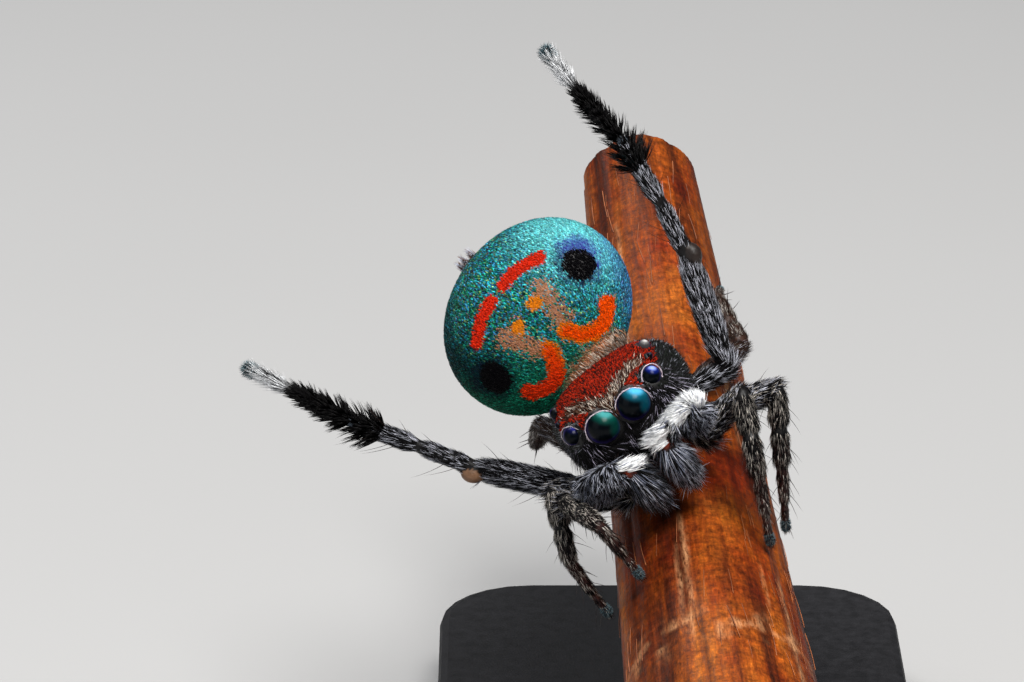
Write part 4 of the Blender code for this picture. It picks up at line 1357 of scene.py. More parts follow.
CROWN_SCALES, SHELL_HAIRS, FACE_HAIRS = 42000, 13000, 7500
TURRET_SHARES = {"large": 0.045, "side": 0.025}  # roots on one turret, as a share of the shell's
CROWN_FAN = 28 / 0.6  # degrees that the crown's scales fan outwards, to each millimetre from the middle
LILAC = shade(196, 190, 212)
# A dark green that stands for the greenish sheen of the cheeks, a painted sheen.
CHEEK_SHEEN_GREEN = shade(30, 36, 30)
BACKWARDS = aimed(BODY, (0.0, 1.0, 0.0))


def clear_of_eyes(places, margin):
    """Which places are not on or right beside a lens."""
    clear = np.ones(len(places), bool)
    for kind in EYES:
        for side in SIDES.values():
            local = placed(eye_place(kind, side).inverted(), places)
            radius, spare, behind = EYES[kind][1], margin, 1.3
            if kind == "large":
                spare, behind = 0.5 * margin, 0.35
            beside = np.hypot(local[:, 0], local[:, 1]) < radius + spare
            clear &= ~(beside & (local[:, 2] > -behind * radius) & (local[:, 2] < 1.6 * radius))
    return clear


def head_roots(count, start, margin):
    """Roots over the shell and the turrets of the front eyes: place, way out, lie and place on the map."""
    u, v = spread(carapace, count, start)
    roots = [(*grown_from(carapace, u, v), on_map(u, v, 0, 0.8))]
    strip = 0
    for kind, share in TURRET_SHARES.items():
        for side in SIDES.values():
            form = socket(kind, side)
            u, v = spread(form, int(count * share), start)
            places, outwards = on_skin(form(u, v))
            lie = along_skin(BACKWARDS, outwards)
            roots.append((places, outwards, lie, on_map(u, v, 0.8 + 0.05 * strip, 0.05)))
            strip += 1
    places, outwards, lie, spots = (np.concatenate(parts) for parts in zip(*roots))
    clear = clear_of_eyes(places, margin)
    return places[clear], outwards[clear], lie[clear], spots[clear]


def crown_coat():
    chance = np.random.default_rng(41)
    places, outwards, lie, spots = head_roots(CROWN_SCALES, 0.5, 0.024)
    local = placed(BODY.inverted(), places)
    crown, stripe = crown_part(local, chance)
    keep = (crown > 0.5) & ((stripe < 0.5) | (chance.uniform(size=len(local)) < 0.62))
    places, outwards, lie, local = (a[keep] for a in (places, outwards, lie, local))
    striped, spots = stripe[keep] > 0.5, spots[keep]
    fan = CROWN_FAN * local[:, 0] * smooth_step(1.0, 0.2, local[:, 1])
    chosen = ~striped
    count = int(chosen.sum())
    aim = ruffled(chance, lie[chosen], outwards[chosen], 14, (8, 26), fan[chosen])
    lengths = chance.uniform(0.040, 0.070, size=count)
    red = picked(chance, count, (0.42, CROWN_RED), (0.27, CROWN_RED * 0.5), (0.31, CROWN_SPECK))
    flat = scales(places[chosen], outwards[chosen], aim, lengths, 0.020)
    count = int(striped.sum())
    aim = ruffled(chance, lie[striped], outwards[striped], 14, (10, 34), fan[striped])
    lengths = chance.uniform(0.08, 0.14, size=count)
    beige = picked(chance, count, (0.22, CROWN_BEIGE), (0.38, CROWN_BROWN), (0.40, CROWN_SPECK))
    tufts = hairs(places[striped], outwards[striped], aim, -outwards[striped], lengths, 0.0105, 0.1)
    return [(flat, red, spots[chosen]), (tufts, beige, spots[striped])]


def shell_coat():
    chance = np.random.default_rng(43)
    places, outwards, lie, spots = head_roots(SHELL_HAIRS, 0.25, 0.010)
    local = placed(BODY.inverted(), places)
    crown, _ = crown_part(local, chance)
    keep = (crown < 0.5) & (local[:, 1] > 0.03)
    places, outwards, lie, local, spots = (a[keep] for a in (places, outwards, lie, local, spots))
    count = len(places)
    aim = ruffled(chance, lie, outwards, 18, (20, 50))
    lengths = chance.uniform(0.05, 0.10, size=count)
    pale = 0.03 + 0.25 * (local[:, 1] > 1.2)
    # Dark hairs, greenish ones as a painted sheen, and a few grey ones.
    colours = picked(chance, count, (0.56, DARK_HAIR), (0.34, CHEEK_SHEEN_GREEN), (0.10, SILVER * 0.22))
    colours = blend(colours, SILVER * 0.6, chance.uniform(size=count) < pale)
    tufts = hairs(places, outwards, aim, -outwards, lengths, 0.012, 0.1)
    return [(tufts, colours, spots)]


def face_coat():
    """Hairs rooted where straight lines from the front meet the face, out to the cheeks."""
    chance = np.random.default_rng(45)
    across, up = even_places(FACE_HAIRS, 0.5)
    across, up = mixed(-0.78, 0.78, across), mixed(-0.62, 0.26, up)
    starts = placed(BODY, np.stack([across, np.full(FACE_HAIRS, -0.9), up], -1))
    found = [SKIN.ray_cast(start, BACKWARDS, 1.6) for start in starts.tolist()]
    hit = np.array([f[0] is not None for f in found])
    places = np.array([tuple(f[0]) for f in found if f[0] is not None])
    outwards = np.array([tuple(f[1]) for f in found if f[0] is not None])
    local = placed(BODY.inverted(), places)
    spots = np.stack([mixed(0.1, 0.9, (across[hit] + 0.8) / 1.6), mixed(0.1, 0.9, up[hit] + 0.62)], -1)
    keep = (local[:, 1] > -0.12) & (local[:, 1] < 0.40) & clear_of_eyes(places, 0.015)
    places, outwards, local, spots = (a[keep] for a in (places, outwards, local, spots))
    count = len(places)
    low = smooth_step(0.0, -0.25, local[:, 2])
    middle_across, _, middle_up = EYES["large"][0]
    side = np.where(local[:, 0] > 0, 1, -1)
    beyond, above = local[:, 0] - side * middle_across, local[:, 2] - middle_up
    round_rim = 0.85 * smooth_step(0.52, 0.30, np.hypot(beyond, above))
    round_rim *= smooth_step(-0.12, 0.0, side * beyond)
    straight = unit(np.stack([0.35 * local[:, 0], np.full(count, -0.1), np.full(count, -1.0)], -1))
    rimwards = unit(np.stack([side * above, np.full(count, -0.05), -side * beyond], -1))
    downwards = aimed(BODY, unit(blend(straight, rimwards, round_rim)))
    aim = ruffled(chance, along_skin(downwards, outwards), outwards, 16, (14, 40))
    lengths = mixed(0.06, 0.24, low) * chance.uniform(0.7, 1.2, size=count)
    colours = picked(chance, count, (1.0, DARK_HAIR))
    beside = smooth_step(0.30, 0.60, np.abs(local[:, 0]))
    pale = chance.uniform(size=count) < mixed(0.12, 0.15, low) + 0.07 * beside - 0.10 * (local[:, 0] < 0.1)
    colours = blend(colours, LILAC * chance.uniform(0.6, 1.2, size=count)[:, None], pale)
    tufts = hairs(places, outwards, aim, downwards, lengths, 0.0095, 0.18, LONG_HAIR_ROWS)
    return [(tufts, colours, spots)]


coat("crown_scales", crown_coat(), coat_finish("crown_scale", 0.50, specular=0.06), "blue_scales")
coat("shell_hair", shell_coat(), coat_finish("short_dark_hair", 0.45), "grey_hair")
coat("face_hair", face_coat(), soft_hair, "grey_hair")

# The coat of the feelers and jaws
# Dense white hairs make a bright band over each feeler's arm, and long grey ones hang round its tip.

PALP_HAIRS, JAW_HAIRS = 6600, 1200
PALP_WHITE = shade(250, 252, 255)
PALP_GREY = shade(120, 126, 144)
# Where the white hairs of each feeler sweep to, at rows down it.
SWEEPS = {
    1: (
        (1.3, 0.30, 0.3, 1.0),
        (2.8, -0.10, 0.2, 0.9),
        (3.5, -0.5, 0.1, -0.4),
        (4.4, -0.5, 0.0, -0.8),
        (4.6, -1.1, 0.0, -0.15),
        (5.2, -1.1, 0.0, 0.0),
        (6.0, -1.0, 0.0, 0.35),
    ),
    -1: ((4.9, 0.85, 0.1, 0.45), (5.5, 0.7, 0.1, 0.75), (6.3, 0.45, 0.1, 1.0)),
}
# From row to row, the white bands, the length of their hairs, and how far round the feeler they reach.
BANDS = {
    1: ((1.3, 3.05, 0.22, 0.0), (3.2, 4.4, 0.20, 0.0), (4.6, 5.95, 0.28, 0.3)),
    -1: ((5.1, 6.1, 0.27, 0.42),),
}
BAND_SIDE = unit((-0.30, -0.60, 0.74))  # the side of the feelers that the white bands lie on
ARM_UNTIL, TIP_FROM = 5.8, 6.22  # rows; the bare red ring lies between
ARM_HANG = {1: unit((0.65, -0.25, -0.70)), -1: unit((-0.15, -0.25, -0.95))}  # the way the arm's hairs hang
TIP_PALE = {1: 0.34, -1: 0.21}  # the share of pale hairs on the tip


def band_length(side, row, front):
    """The length of the white hairs at places on a feeler, and 0 between the bands."""
    length = np.zeros(len(row))
    for low, high, reach, edge in BANDS[side]:
        length = np.where((row > low) & (row < high) & (front > edge), reach, length)
    return length


def palp_white(side, chance):
    """The bright band: flat white hairs over the arm, and a tongue of longer ones over the tip's root."""
    form = PALPS[side]
    u, v = spread(form, 2 * PALP_HAIRS, 0.3)
    places, outwards, lie = grown_from(form, u, v)
    row = np.interp(u, form.rows, np.arange(len(PALP_ROWS)))
    front = outwards @ BAND_SIDE
    reach = band_length(side, row, front)
    kept = reach > 0
    u, v, places, outwards, lie, row, reach = (a[kept] for a in (u, v, places, outwards, lie, row, reach))
    count = len(u)
    table = np.array(SWEEPS[side])
    towards = np.stack([np.interp(row, table[:, 0], table[:, i]) for i in (1, 2, 3)], -1)
    aim = unit(lie * 0.5 + towards + chance.normal(scale=0.10, size=(count, 3)))
    aim = leant(along_skin(aim, outwards), outwards, chance.uniform(6, 26, size=count))
    lengths = reach * chance.uniform(0.6, 1.2, size=count)
    colours = picked(chance, count, (0.93, PALP_WHITE), (0.07, PALP_GREY))
    tufts = hairs(places, outwards, aim, -outwards, lengths, 0.016, 0.10, LONG_HAIR_ROWS)
    return [(tufts, np.minimum(colours, 0.95), on_map(u, v))]


def palp_coat(side, chance):
    """Hairs that hang from the arm, and longer ones in clumps round the tip."""
    form = PALPS[side]
    u, v = spread(form, PALP_HAIRS, 0.5)
    places, outwards, lie = grown_from(form, u, v)
    row = np.interp(u, form.rows, np.arange(len(PALP_ROWS)))
    downwards = aimed(BODY, unit((-0.10 * side, -0.25, -1.0)))
    arm = (row < ARM_UNTIL) & (band_length(side, row, outwards @ BAND_SIDE) == 0)
    tip = row > TIP_FROM
    batches = []
    for chosen, heading, lean, reach, width, curve in (
        (arm, 0.5 * lie + ARM_HANG[side], (10, 28), (0.12, 0.22), 0.0125, 0.15),
        (tip, lie, (6, 22), (0.18, 0.32), 0.0110, 0.20),
    ):
        count = int(chosen.sum())
        place, out = places[chosen], outwards[chosen]
        heading = along_skin(heading[chosen], out)
        aim = ruffled(chance, heading, out, 10, lean)
        lengths = chance.uniform(*reach, size=count)
        if chosen is tip:
            pale = chance.uniform(size=count) < TIP_PALE[side] * (1 + 0.5 * ripple(place, 0.10, 9))
            colours = picked(chance, count, (0.16, PALP_GREY * 0.6), (0.84, DARK_HAIR))
            colours = blend(colours, picked(chance, count, (0.7, SILVER), (0.3, PALP_GREY * 1.5)), pale)
        else:
            colours = picked(chance, count, (0.27, SILVER * 1.1), (0.11, PALP_GREY), (0.62, DARK_HAIR))
        bend = unit(heading - 0.5 * out + 0.5 * downwards)
        tufts = hairs(place, out, aim, bend, lengths, width, curve, LONG_HAIR_ROWS)
        batches.append((tufts, colours, on_map(u[chosen], v[chosen])))
    return batches


def jaw_coat(side, chance):
    form = JAWS[side]
    u, v = spread(form, JAW_HAIRS, 0.5)
    places, outwards, lie = grown_from(form, u, v)
    aim = ruffled(chance, lie, outwards, 14, (12, 30))
    lengths = chance.uniform(0.07, 0.14, size=len(u))
    colours = picked(chance, len(u), (0.3, SILVER), (0.3, HAIR_BROWN), (0.4, DARK_HAIR))
    return [(hairs(places, outwards, aim, lie, lengths, 0.011, 0.1), colours, on_map(u, v))]


for side_name, side in SIDES.items():
    chance = np.random.default_rng(50 + side)
    coat(f"palp_white_{side_name}", palp_white(side, chance), soft_hair, "white_hair", 0.9)
    coat(f"palp_hair_{side_name}", palp_coat(side, chance), soft_hair, "grey_hair")
    coat(f"jaw_hair_{side_name}", jaw_coat(side, chance), soft_hair, "grey_hair")

# The coat of the legs
# Silver and black strands lie down every segment, and long hairs fringe the femora below.
# The raised pair has a black brush on the metatarsus and a white tuft on the tarsus.

# For coxa, femur, patella, tibia, metatarsus and tarsus: hair length, lean, and share of pale hairs.
STANDING_COAT = (
    (0.13, 20, 0.22),
    (0.15, 12, 0.26),
    (0.13, 12, 0.28),
    (0.13, 11, 0.26),
    (0.10, 12, 0.26),
    (0.08, 12, 0.30),
)
LEG_COATS = {
    1: STANDING_COAT,
    2: ((0.12, 20, 0.20), *STANDING_COAT[1:]),
    3: (
        (0.13, 20, 0.22),
        (0.17, 9, 0.30),
        (0.12, 11, 0.24),
        (0.14, 12, 0.32),
        (0.19, 40, 0.0),
        (0.18, 24, 0.95),
    ),
    4: (
        (0.10, 18, 0.14),
        (0.12, 10, 0.14),
        (0.12, 10, 0.16),
        (0.12, 11, 0.18),
        (0.10, 12, 0.22),
        (0.08, 12, 0.26),
    ),
}
# The share of the hairs that the shins and feet keep.
LOW_SHARE = {1: 0.85, 2: 0.85, 3: 1.0, 4: 1.0}
LEG_HAIRS = {1: 8800, 2: 8400, 3: 14500, 4: 7600}
SEGMENT_COUNT = 6
STRAND = shade(196, 198, 210)
CREAM_STRAND = shade(214, 206, 196)
BROWN_STRAND = shade(84, 58, 46)
BRUSH_BLACK = shade(8, 7, 8)
BRUSH_FROM = 0.58  # how far down the tibia the black brush starts
BRUSH_CLUMPS = (150, 16)  # how many clumps of bristles lie along the leg and round it
BARE_JOINT = {1: 0.005, 2: 0.005, 3: 0.007, 4: 0.008}  # share of a leg left bare each side of a joint
WHITE_UNTIL = 0.965  # how far down the raised leg its white hairs are rooted
STRAND_TONES = {1: CREAM_STRAND, 2: CREAM_STRAND, 3: STRAND, 4: CREAM_STRAND * 0.8}
CLUMP_KINDS = 997  # the clumps of the brush draw their lean and length from this many
KNOB_CLEAR, SHORTEST = 0.012, 0.04  # hairs end this far off the bare knob, and shorter ones are left out


def room_to_knob(places, lie, side_name):
    """How far hairs can run along their lie before they meet the bare knob under the knee."""
    knee = np.array(LEGS[side_name, 3].corners[2] + Vector(KNOB_AIMS[side_name]) * KNOB_OUT)
    steps = np.linspace(0, 0.3, 13)
    gaps = np.linalg.norm(places + lie * steps[:, None, None] - knee, axis=-1) - KNOB_RADIUS
    return np.where((gaps < KNOB_CLEAR).any(0), steps[(gaps < KNOB_CLEAR).argmax(0)], 1.0)


def leg_roots(form, side_name, pair, chance):
    """Where a leg's hairs are rooted, on which segment, how they lie and how far each can run."""
    u, v = spread(form, LEG_HAIRS[pair], 0.5)
    segment = np.clip(np.searchsorted(form.joints, u, side="right") - 1, 0, SEGMENT_COUNT - 1)
    near = np.min(np.abs(u[:, None] - form.joints[None, 2:6]), axis=1)
    kept = (near > BARE_JOINT[pair]) & ((segment < 3) | (chance.uniform(size=len(u)) < LOW_SHARE[pair]))
    kept &= (pair != 3) | (u < WHITE_UNTIL)
    u, v, segment = (a[kept] for a in (u, v, segment))
    places, outwards, lie = grown_from(form, u, v)
    free = room_to_knob(places, lie, side_name) if pair == 3 else np.ones(len(u))
    roots = (u, v, segment, places, outwards, lie, free)
    return [a[free > SHORTEST] for a in roots]


def brush_and_tuft(form, roots, pale, looks, chance):
    """A raised leg's strands, changed to a black brush above its foot and a white tuft on it."""
    u, v, segment = roots
    lean, turned, lengths, widths, colours = looks
    count = len(u)
    start = mixed(form.joints[3], form.joints[4], BRUSH_FROM)
    brush = (segment < 5) & (u > start) & ((segment == 4) | (chance.uniform(size=count) < 0.75))
    along = smooth_step(start, form.joints[5], u)
    clump = (u * BRUSH_CLUMPS[0]).astype(int) * 61 + (v * BRUSH_CLUMPS[1]).astype(int) * 17

    def by_clump(low, high):
        return chance.uniform(low, high, size=CLUMP_KINDS)[clump % CLUMP_KINDS]

    tall = by_clump(0, 1) < 0.5
    lean = np.where(brush, np.where(tall, mixed(54, 34, along), 20) + by_clump(-12, 12), lean)
    reach = np.where(tall, mixed(0.27, 0.17, along), 0.12) * by_clump(0.75, 1.15)
    lengths = np.where(brush, reach, lengths)
    widths = np.where(brush, np.where(tall, 0.024, 0.018), widths)
    turned = np.where(brush, by_clump(-14, 14), turned)
    colours = blend(colours, BRUSH_BLACK * chance.uniform(0.5, 1.8, size=count)[:, None], brush)
    white = PALP_WHITE * chance.uniform(0.6, 1.0, size=count)[:, None]
    colours = blend(colours, white, (segment == 5) & pale)
    whole = sum((b - a).length for a, b in zip(form.corners, form.corners[1:]))
    lengths = np.where(segment == 5, np.minimum(lengths, (1.0 - u) * whole), lengths)
    return lean, turned, lengths, widths, colours


def leg_coat(side_name, pair, chance):
    """Strands down a leg in their own tones, and on a raised leg the black brush and the white tuft."""
    form = LEGS[side_name, pair]
    u, v, segment, places, outwards, lie, free = leg_roots(form, side_name, pair, chance)
    count = len(u)
    length, tilt, pale_share = np.array(LEG_COATS[pair])[segment].T
    lengths = length * chance.uniform(0.65, 1.25, size=count)
    lean = tilt * chance.uniform(0.5, 1.4, size=count)
    below = smooth_step(-0.2, -0.8, outwards[:, 2]) * (segment < 2)
    longer, lifted = (0.10, 4) if pair == 3 else (0.40, 12)  # the fringe below the femora
    lengths *= 1 + longer * below
    lean += lifted * below
    clump = ripple(places, 0.16, 7 + pair)
    # The right raised femur keeps fewer pale hairs, a painted shade.
    shaded = 0.66 if (side_name, pair) == ("right", 3) else 1.0
    pale = chance.uniform(size=count) < pale_share * np.where(segment < 2, shaded, 1) * (1 + 0.5 * clump)
    dark = BROWN_STRAND * 0.3 if pair == 4 else DARK_HAIR
    colours = picked(chance, count, (0.8, dark), (0.2, dark * 2 + 0.004))
    pale_tone = STRAND_TONES[pair] * chance.uniform(0.45, 1.35, size=count)[:, None]
    pale_tone = blend(pale_tone, STRAND, (segment == 1) & (chance.uniform(size=count) < 0.6))
    colours = blend(colours, pale_tone, pale)
    widths = chance.uniform(0.0080, 0.0128, size=count)
    turned = chance.normal(scale=9, size=count)
    looks = (lean, turned, np.minimum(lengths, free), widths, colours)
    if pair == 3:
        looks = brush_and_tuft(form, (u, v, segment), pale, looks, chance)
    lean, turned, lengths, widths, colours = looks
    aim = leant(swung(lie, outwards, turned), outwards, lean)
    return hairs(places, outwards, aim, lie, lengths, widths, 0.12), colours, on_map(u, v)


strand_finish = coat_finish("leg_strand", 0.42, specular=0.09)
for pair in LEG_ROOTS:
    for side_name in SIDES:
        chance = np.random.default_rng(60 + 2 * pair + SIDES[side_name])
        slot = "black_brush" if pair == 3 else "grey_hair"
        coat(f"leg{pair}_{side_name}_hair", [leg_coat(side_name, pair, chance)], strand_finish, slot)

# The spines and feet
# Long thin dark bristles stand off the legs, and each foot ends in a pad of fine blue grey hairs.

SPINE_BROWN = shade(40, 28, 26)
PAD_TEAL = shade(98, 122, 130)
PAD_DARK = shade(36, 48, 55)
SPINE_SIDES = unit(((0.2, -0.3, 1.0), (-1.0, -0.3, 0.1), (0.2, -0.3, -1.0), (1.0, -0.4, 0.1)))
SPINE_ROWS = ((0.0, 1.0), (0.25, 0.85), (0.5, 0.65), (0.75, 0.42))
SPINES_ON = (0, 5, 3, 7, 6, 2)  # on each segment
SPINE_LENGTHS = {1: (0.16, 0.28), 2: (0.16, 0.30), 3: (0.24, 0.42), 4: (0.14, 0.24)}
PAD_HAIRS = 420
PAD_LENGTHS = {1: (0.032, 0.050), 2: (0.032, 0.050), 3: (0.065, 0.095), 4: (0.020, 0.034)}
PAD_SHARES = {1: 0.050, 2: 0.050, 3: 0.032, 4: 0.050}  # how much of the leg's length each pad covers


def leg_spines(key, chance, left, share):
    """Stiff bristles on four sides of each segment, but none among a raised leg's brush."""
    form, pair = LEGS[key], key[1]
    shares = []
    for segment, number in enumerate(SPINES_ON[:4] if pair == 3 else SPINES_ON):
        low, high = form.joints[segment], form.joints[segment + 1]
        shares += [mixed(low, high, 0.2 + 0.65 * (i + 0.5) / number) for i in range(number)]
    u = np.array(shares)
    round_it = np.arange(16) / 16
    rings = form(u[:, None], round_it[None, :])
    rings = unit(rings - rings.mean(1, keepdims=True))
    wanted = SPINE_SIDES[np.arange(len(u)) % len(SPINE_SIDES)]
    v = round_it[np.einsum("ijk,ik->ij", rings, wanted).argmax(1)] + chance.uniform(-0.05, 0.05, size=len(u))
    places, outwards, lie = grown_from(form, u, v)
    aim = ruffled(chance, lie, outwards, 8, (42, 62))
    lengths = chance.uniform(*SPINE_LENGTHS[pair], size=len(u))
    tufts = hairs(places, outwards, aim, lie, lengths, 0.015, 0.28, SPINE_ROWS)
    return tufts, np.tile(SPINE_BROWN, (len(u), 1)), on_map(u, v, left, share)


def foot_pad(key, chance, left, share):
    """Fine hairs that stand out all round the end of a leg."""
    form, pair = LEGS[key], key[1]
    up, v = even_places(PAD_HAIRS)
    u = 1 - PAD_SHARES[pair] * up
    places, outwards, _ = grown_from(form, u, v)
    tip = np.array(form.corners[-1])
    heading = unit(form.corners[-1] - form.corners[-2])
    stray = chance.normal(scale=0.12, size=(len(u), 3))
    aim = unit(unit(places - tip) * 0.8 + outwards * 0.6 + heading * 0.6 + stray)
    lengths = chance.uniform(*PAD_LENGTHS[pair], size=len(u))
    colours = picked(chance, len(u), (0.6, PAD_TEAL), (0.4, PAD_DARK))
    return hairs(places, outwards, aim, heading, lengths, 0.011, 0.1), colours, on_map(u, v, left, share)


chance = np.random.default_rng(71)
keys = [(side_name, pair) for pair in LEG_ROOTS for side_name in SIDES]
spines = [leg_spines(key, chance, i / 8, 1 / 8) for i, key in enumerate(keys)]
coat("leg_spines", spines, coat_finish("spine_cuticle", 0.30), "cuticle")
pads = [foot_pad(key, chance, i / 8, 1 / 8) for i, key in enumerate(keys)]
coat("foot_pads", pads, soft_hair, "grey_hair")

# The stem
# A dry round plant stem, sawn to a short length. Its bark is orange brown with grooves, pale streaks
# and loose fibres along it, and the sawn ends show paler wood round a soft pith.

STEM_BACK, STEM_FRONT = -6.2, 4.9
STEM_BEVEL = 0.06
STEM_RINGS, STEM_POINTS = 260, 190
# Angle round the stem in degrees, width in degrees and depth of each groove.
GROOVES = (
    (-62, 5, 0.030),
    (-34, 7, 0.034),
    (-21, 4, 0.028),
    (6, 5, 0.016),
    (33, 6, 0.024),
    (58, 8, 0.020),
    (88, 5, 0.026),
    (122, 9, 0.030),
    (165, 6, 0.026),
    (-96, 6, 0.030),
    (-131, 8, 0.026),
)
GROOVE_WANDER = 5.0  # degrees either way over the length
# The red brown tint of the painted shade down the stem's sides.
SIDE_SHADE_RED = (0.34, 0.22, 0.20)
# Angle and width in degrees of each streak of pale wood, and where along the stem it starts and ends.
PALE_STREAKS = (
    (-18, 1.8, 1.4, 4.1),
    (-24, 1.5, 1.9, 3.6),
    (33, 0.9, 2.2, 3.5),
    (50, 2.0, 2.2, 4.8),
    (40, 2.4, -3.6, 0.2),
    (-38, 2.0, -4.6, -1.2),
    (118, 3.0, -4.0, 3.5),
    (-150, 3.2, -5.0, 3.0),
)
SCAR_PLACE, SCAR_REACH = 3.6, 0.22  # a hazy pale ring where a leaf once stood
DARK_LINE = -13  # the angle of the dark crack beside the broad pale streak
PALE_WOOD = shade(206, 150, 104)
RELIEF = 0.010  # depth of the bark's fine ripples
PITH_RADIUS = 0.34
MIDDLE, LENGTHWAYS, UPWARDS, SIDEWAYS = (np.array(v) for v in (STEM_POINT, STEM_AXIS, STEM_UP, STEM_SIDE))


def stem_surface(place, angle, less=0.0):
    place, angle = np.broadcast_arrays(place, angle)
    radius = stem_radius(place, angle) - less
    degrees = np.degrees(angle)
    for i, (middle, width, depth) in enumerate(GROOVES):
        wander = GROOVE_WANDER * np.sin(0.7 * place + 1.9 * i)
        off = (degrees - middle - wander + 180) % 360 - 180
        fade = 0.6 + 0.4 * np.sin(1.1 * place + 2.3 * i)
        radius = radius - depth * fade * bell(off, 0, width)
    rough = np.sin(17 * angle + 0.8 * place) * np.sin(31 * angle - 0.5 * place + 1)
    rough = rough + 0.5 * np.sin(57 * angle + 2 * place)
    radius = radius - RELIEF * 0.5 * (1 + rough / 1.5)
    out = np.cos(angle)[..., None] * UPWARDS + np.sin(angle)[..., None] * SIDEWAYS
    return MIDDLE + place[..., None] * LENGTHWAYS + radius[..., None] * out


def bark_tints(points):
    """A tint for each place on the bark, darker and redder down the left side as a painted shade, and a
    share of pale wood.
    """
    off = points - MIDDLE
    place = off @ LENGTHWAYS
    angle = np.degrees(np.arctan2(off @ SIDEWAYS, off @ UPWARDS))
    wander = 0.9 * np.sin(2.1 * place) + 0.5 * np.sin(5.3 * place + 1)
    # Painted shade down the stem's sides.
    shadow = bell(angle + wander, -52, 20) + 0.6 * bell(angle - wander, 74, 16)
    tint = blend(np.ones(3), np.array(SIDE_SHADE_RED), 0.85 * np.clip(shadow, 0, 1))
    # A dark crack along the broad pale streak, and a dark band across the stem under the spider, a painted
    # cast shadow.
    crack = smooth_step(2.0, 3.2, place) * bell(angle + 0.6 * wander, DARK_LINE, 1.8)
    cast_shadow = bell(place, 1.35, 0.22) * smooth_step(60, 30, np.abs(angle - 10))
    tint = tint * (1 - 0.6 * crack - 0.35 * cast_shadow)[:, None]
    pale = np.zeros(len(points))
    for middle, width, start, end in PALE_STREAKS:
        ends = smooth_step(start, start + 0.5, place) * smooth_step(end, end - 0.8, place)
        pale += ends * bell(angle + wander, middle, width)
    scar = bell(place + 0.12 * ripple(points, 0.9, 17), SCAR_PLACE, SCAR_REACH)
    pale += 0.75 * scar * smooth_step(-0.1, 0.6, ripple(points, 0.35, 16))
    pale *= 0.62 + 0.38 * ripple(points * (1, 0.4, 1), 0.18, 15)
    off_axis = np.linalg.norm(off - place[:, None] * LENGTHWAYS, axis=1)
    sawn = (place < STEM_BACK + 0.03) | (place > STEM_FRONT - 0.03) | (off_axis < 0.4)
    pale = np.where(sawn, np.where(off_axis < PITH_RADIUS, 0.25, 0.95), pale)
    return blend(tint, 0.8, sawn), np.clip(pale, 0, 1)


def stem_mesh():
    angles = 2 * np.pi * np.arange(STEM_POINTS) / STEM_POINTS
    places = np.linspace(STEM_BACK + STEM_BEVEL, STEM_FRONT - STEM_BEVEL, STEM_RINGS)
    wall = stem_surface(places[:, None], angles[None, :])
    rings = list(wall)
    for end, at_front in ((STEM_BACK, False), (STEM_FRONT, True)):
        cut = [stem_surface(np.array(end), angles, STEM_BEVEL)]
        middle = MIDDLE + end * LENGTHWAYS
        cut += [middle + (cut[0] - middle) * share for share in (0.85, 0.6, 0.32, 0.28, 0.05)]
        for ring, dip in zip(cut[4:], (0.05, 0.07)):  # the soft pith is sunk in
            ring -= LENGTHWAYS * (dip if at_front else -dip)
        rings = rings + cut if at_front else cut[::-1] + rings
    faces = [(a, d, c, b) for a, b, c, d in ring_quads(len(rings), STEM_POINTS)]
    faces.append(tuple(range(STEM_POINTS)))
    last = (len(rings) - 1) * STEM_POINTS
    faces.append(tuple(last + j for j in reversed(range(STEM_POINTS))))
    mesh = bpy.data.meshes.new("stem")
    mesh.from_pydata(np.concatenate(rings).tolist(), [], faces)
    body = bmesh.new()
    body.from_mesh(mesh)
    bmesh.ops.recalc_face_normals(body, faces=body.faces)
    body.to_mesh(mesh)
    body.free()
    mesh.shade_smooth()
    mesh.set_sharp_from_angle(angle=math.radians(50))
    return mesh


BARK_COLOURS = [
    shade(*tone)
    for tone in ((50, 22, 8), (104, 46, 10), (148, 72, 14), (168, 90, 22), (186, 118, 56))
]
BARK_PLACES = (0.30, 0.42, 0.52, 0.62, 0.74)


def bark_finish():
    material, tree = new_material("stem_bark_streaked")

    def drawn_out(stretch, *settings):
        """Noise that is drawn out along the stem."""
        turned = in_millimetres(tree, STEM_AXIS.rotation_difference(Vector((0, 0, 1))).to_euler())
        return noise(tree, *settings, vector=mapped(tree, turned, (1, 1, stretch)))

    def painted(name):
        return add_node(tree, "ShaderNodeAttribute", attribute_name=name)["Color"]

    fine = drawn_out(0.30, 30, 4.0, 0.7)
    colour = graded(tree, drawn_out(0.05, 3.6, 8.0, 0.62), *BARK_COLOURS, places=BARK_PLACES)
    mottle = graded(tree, drawn_out(1.7, 7, 8.0, 0.8), 0.42, 0.92, 1.4, 2.6, places=(0.36, 0.5, 0.62, 0.70))
    blotches = graded(tree, drawn_out(0.8, 1.1, 4.0, 0.6), shade(206, 140, 130), 1.0, places=(0.32, 0.58))
    for layer in (graded(tree, fine, 0.62, 1.25), mottle, blotches, painted("bark_tint")):
        colour = multiplied(tree, colour, layer)
    split = multiplied(tree, painted("bark_pale"), graded(tree, fine, 0.1, 0.9, places=(0.36, 0.56)))
    wood = add_node(tree, "ShaderNodeMix", {0: split, 6: colour, 7: (*PALE_WOOD, 1)}, data_type="RGBA")[2]
    return surfaced(material, {
        "Base Color": multiplied(tree, wood, graded(tree, fine, 0.55, 1.1), 0.5),
        "Roughness": graded(tree, fine, 0.42, 0.72),
        "Specular IOR Level": 0.14,
        "Normal": bumped(tree, fine, 0.000010, 0.8),
    })


FIBRE_MIDDLE, FIBRE_HALF = -0.95, 4.9  # fibres are rooted this far either way of a place along the stem
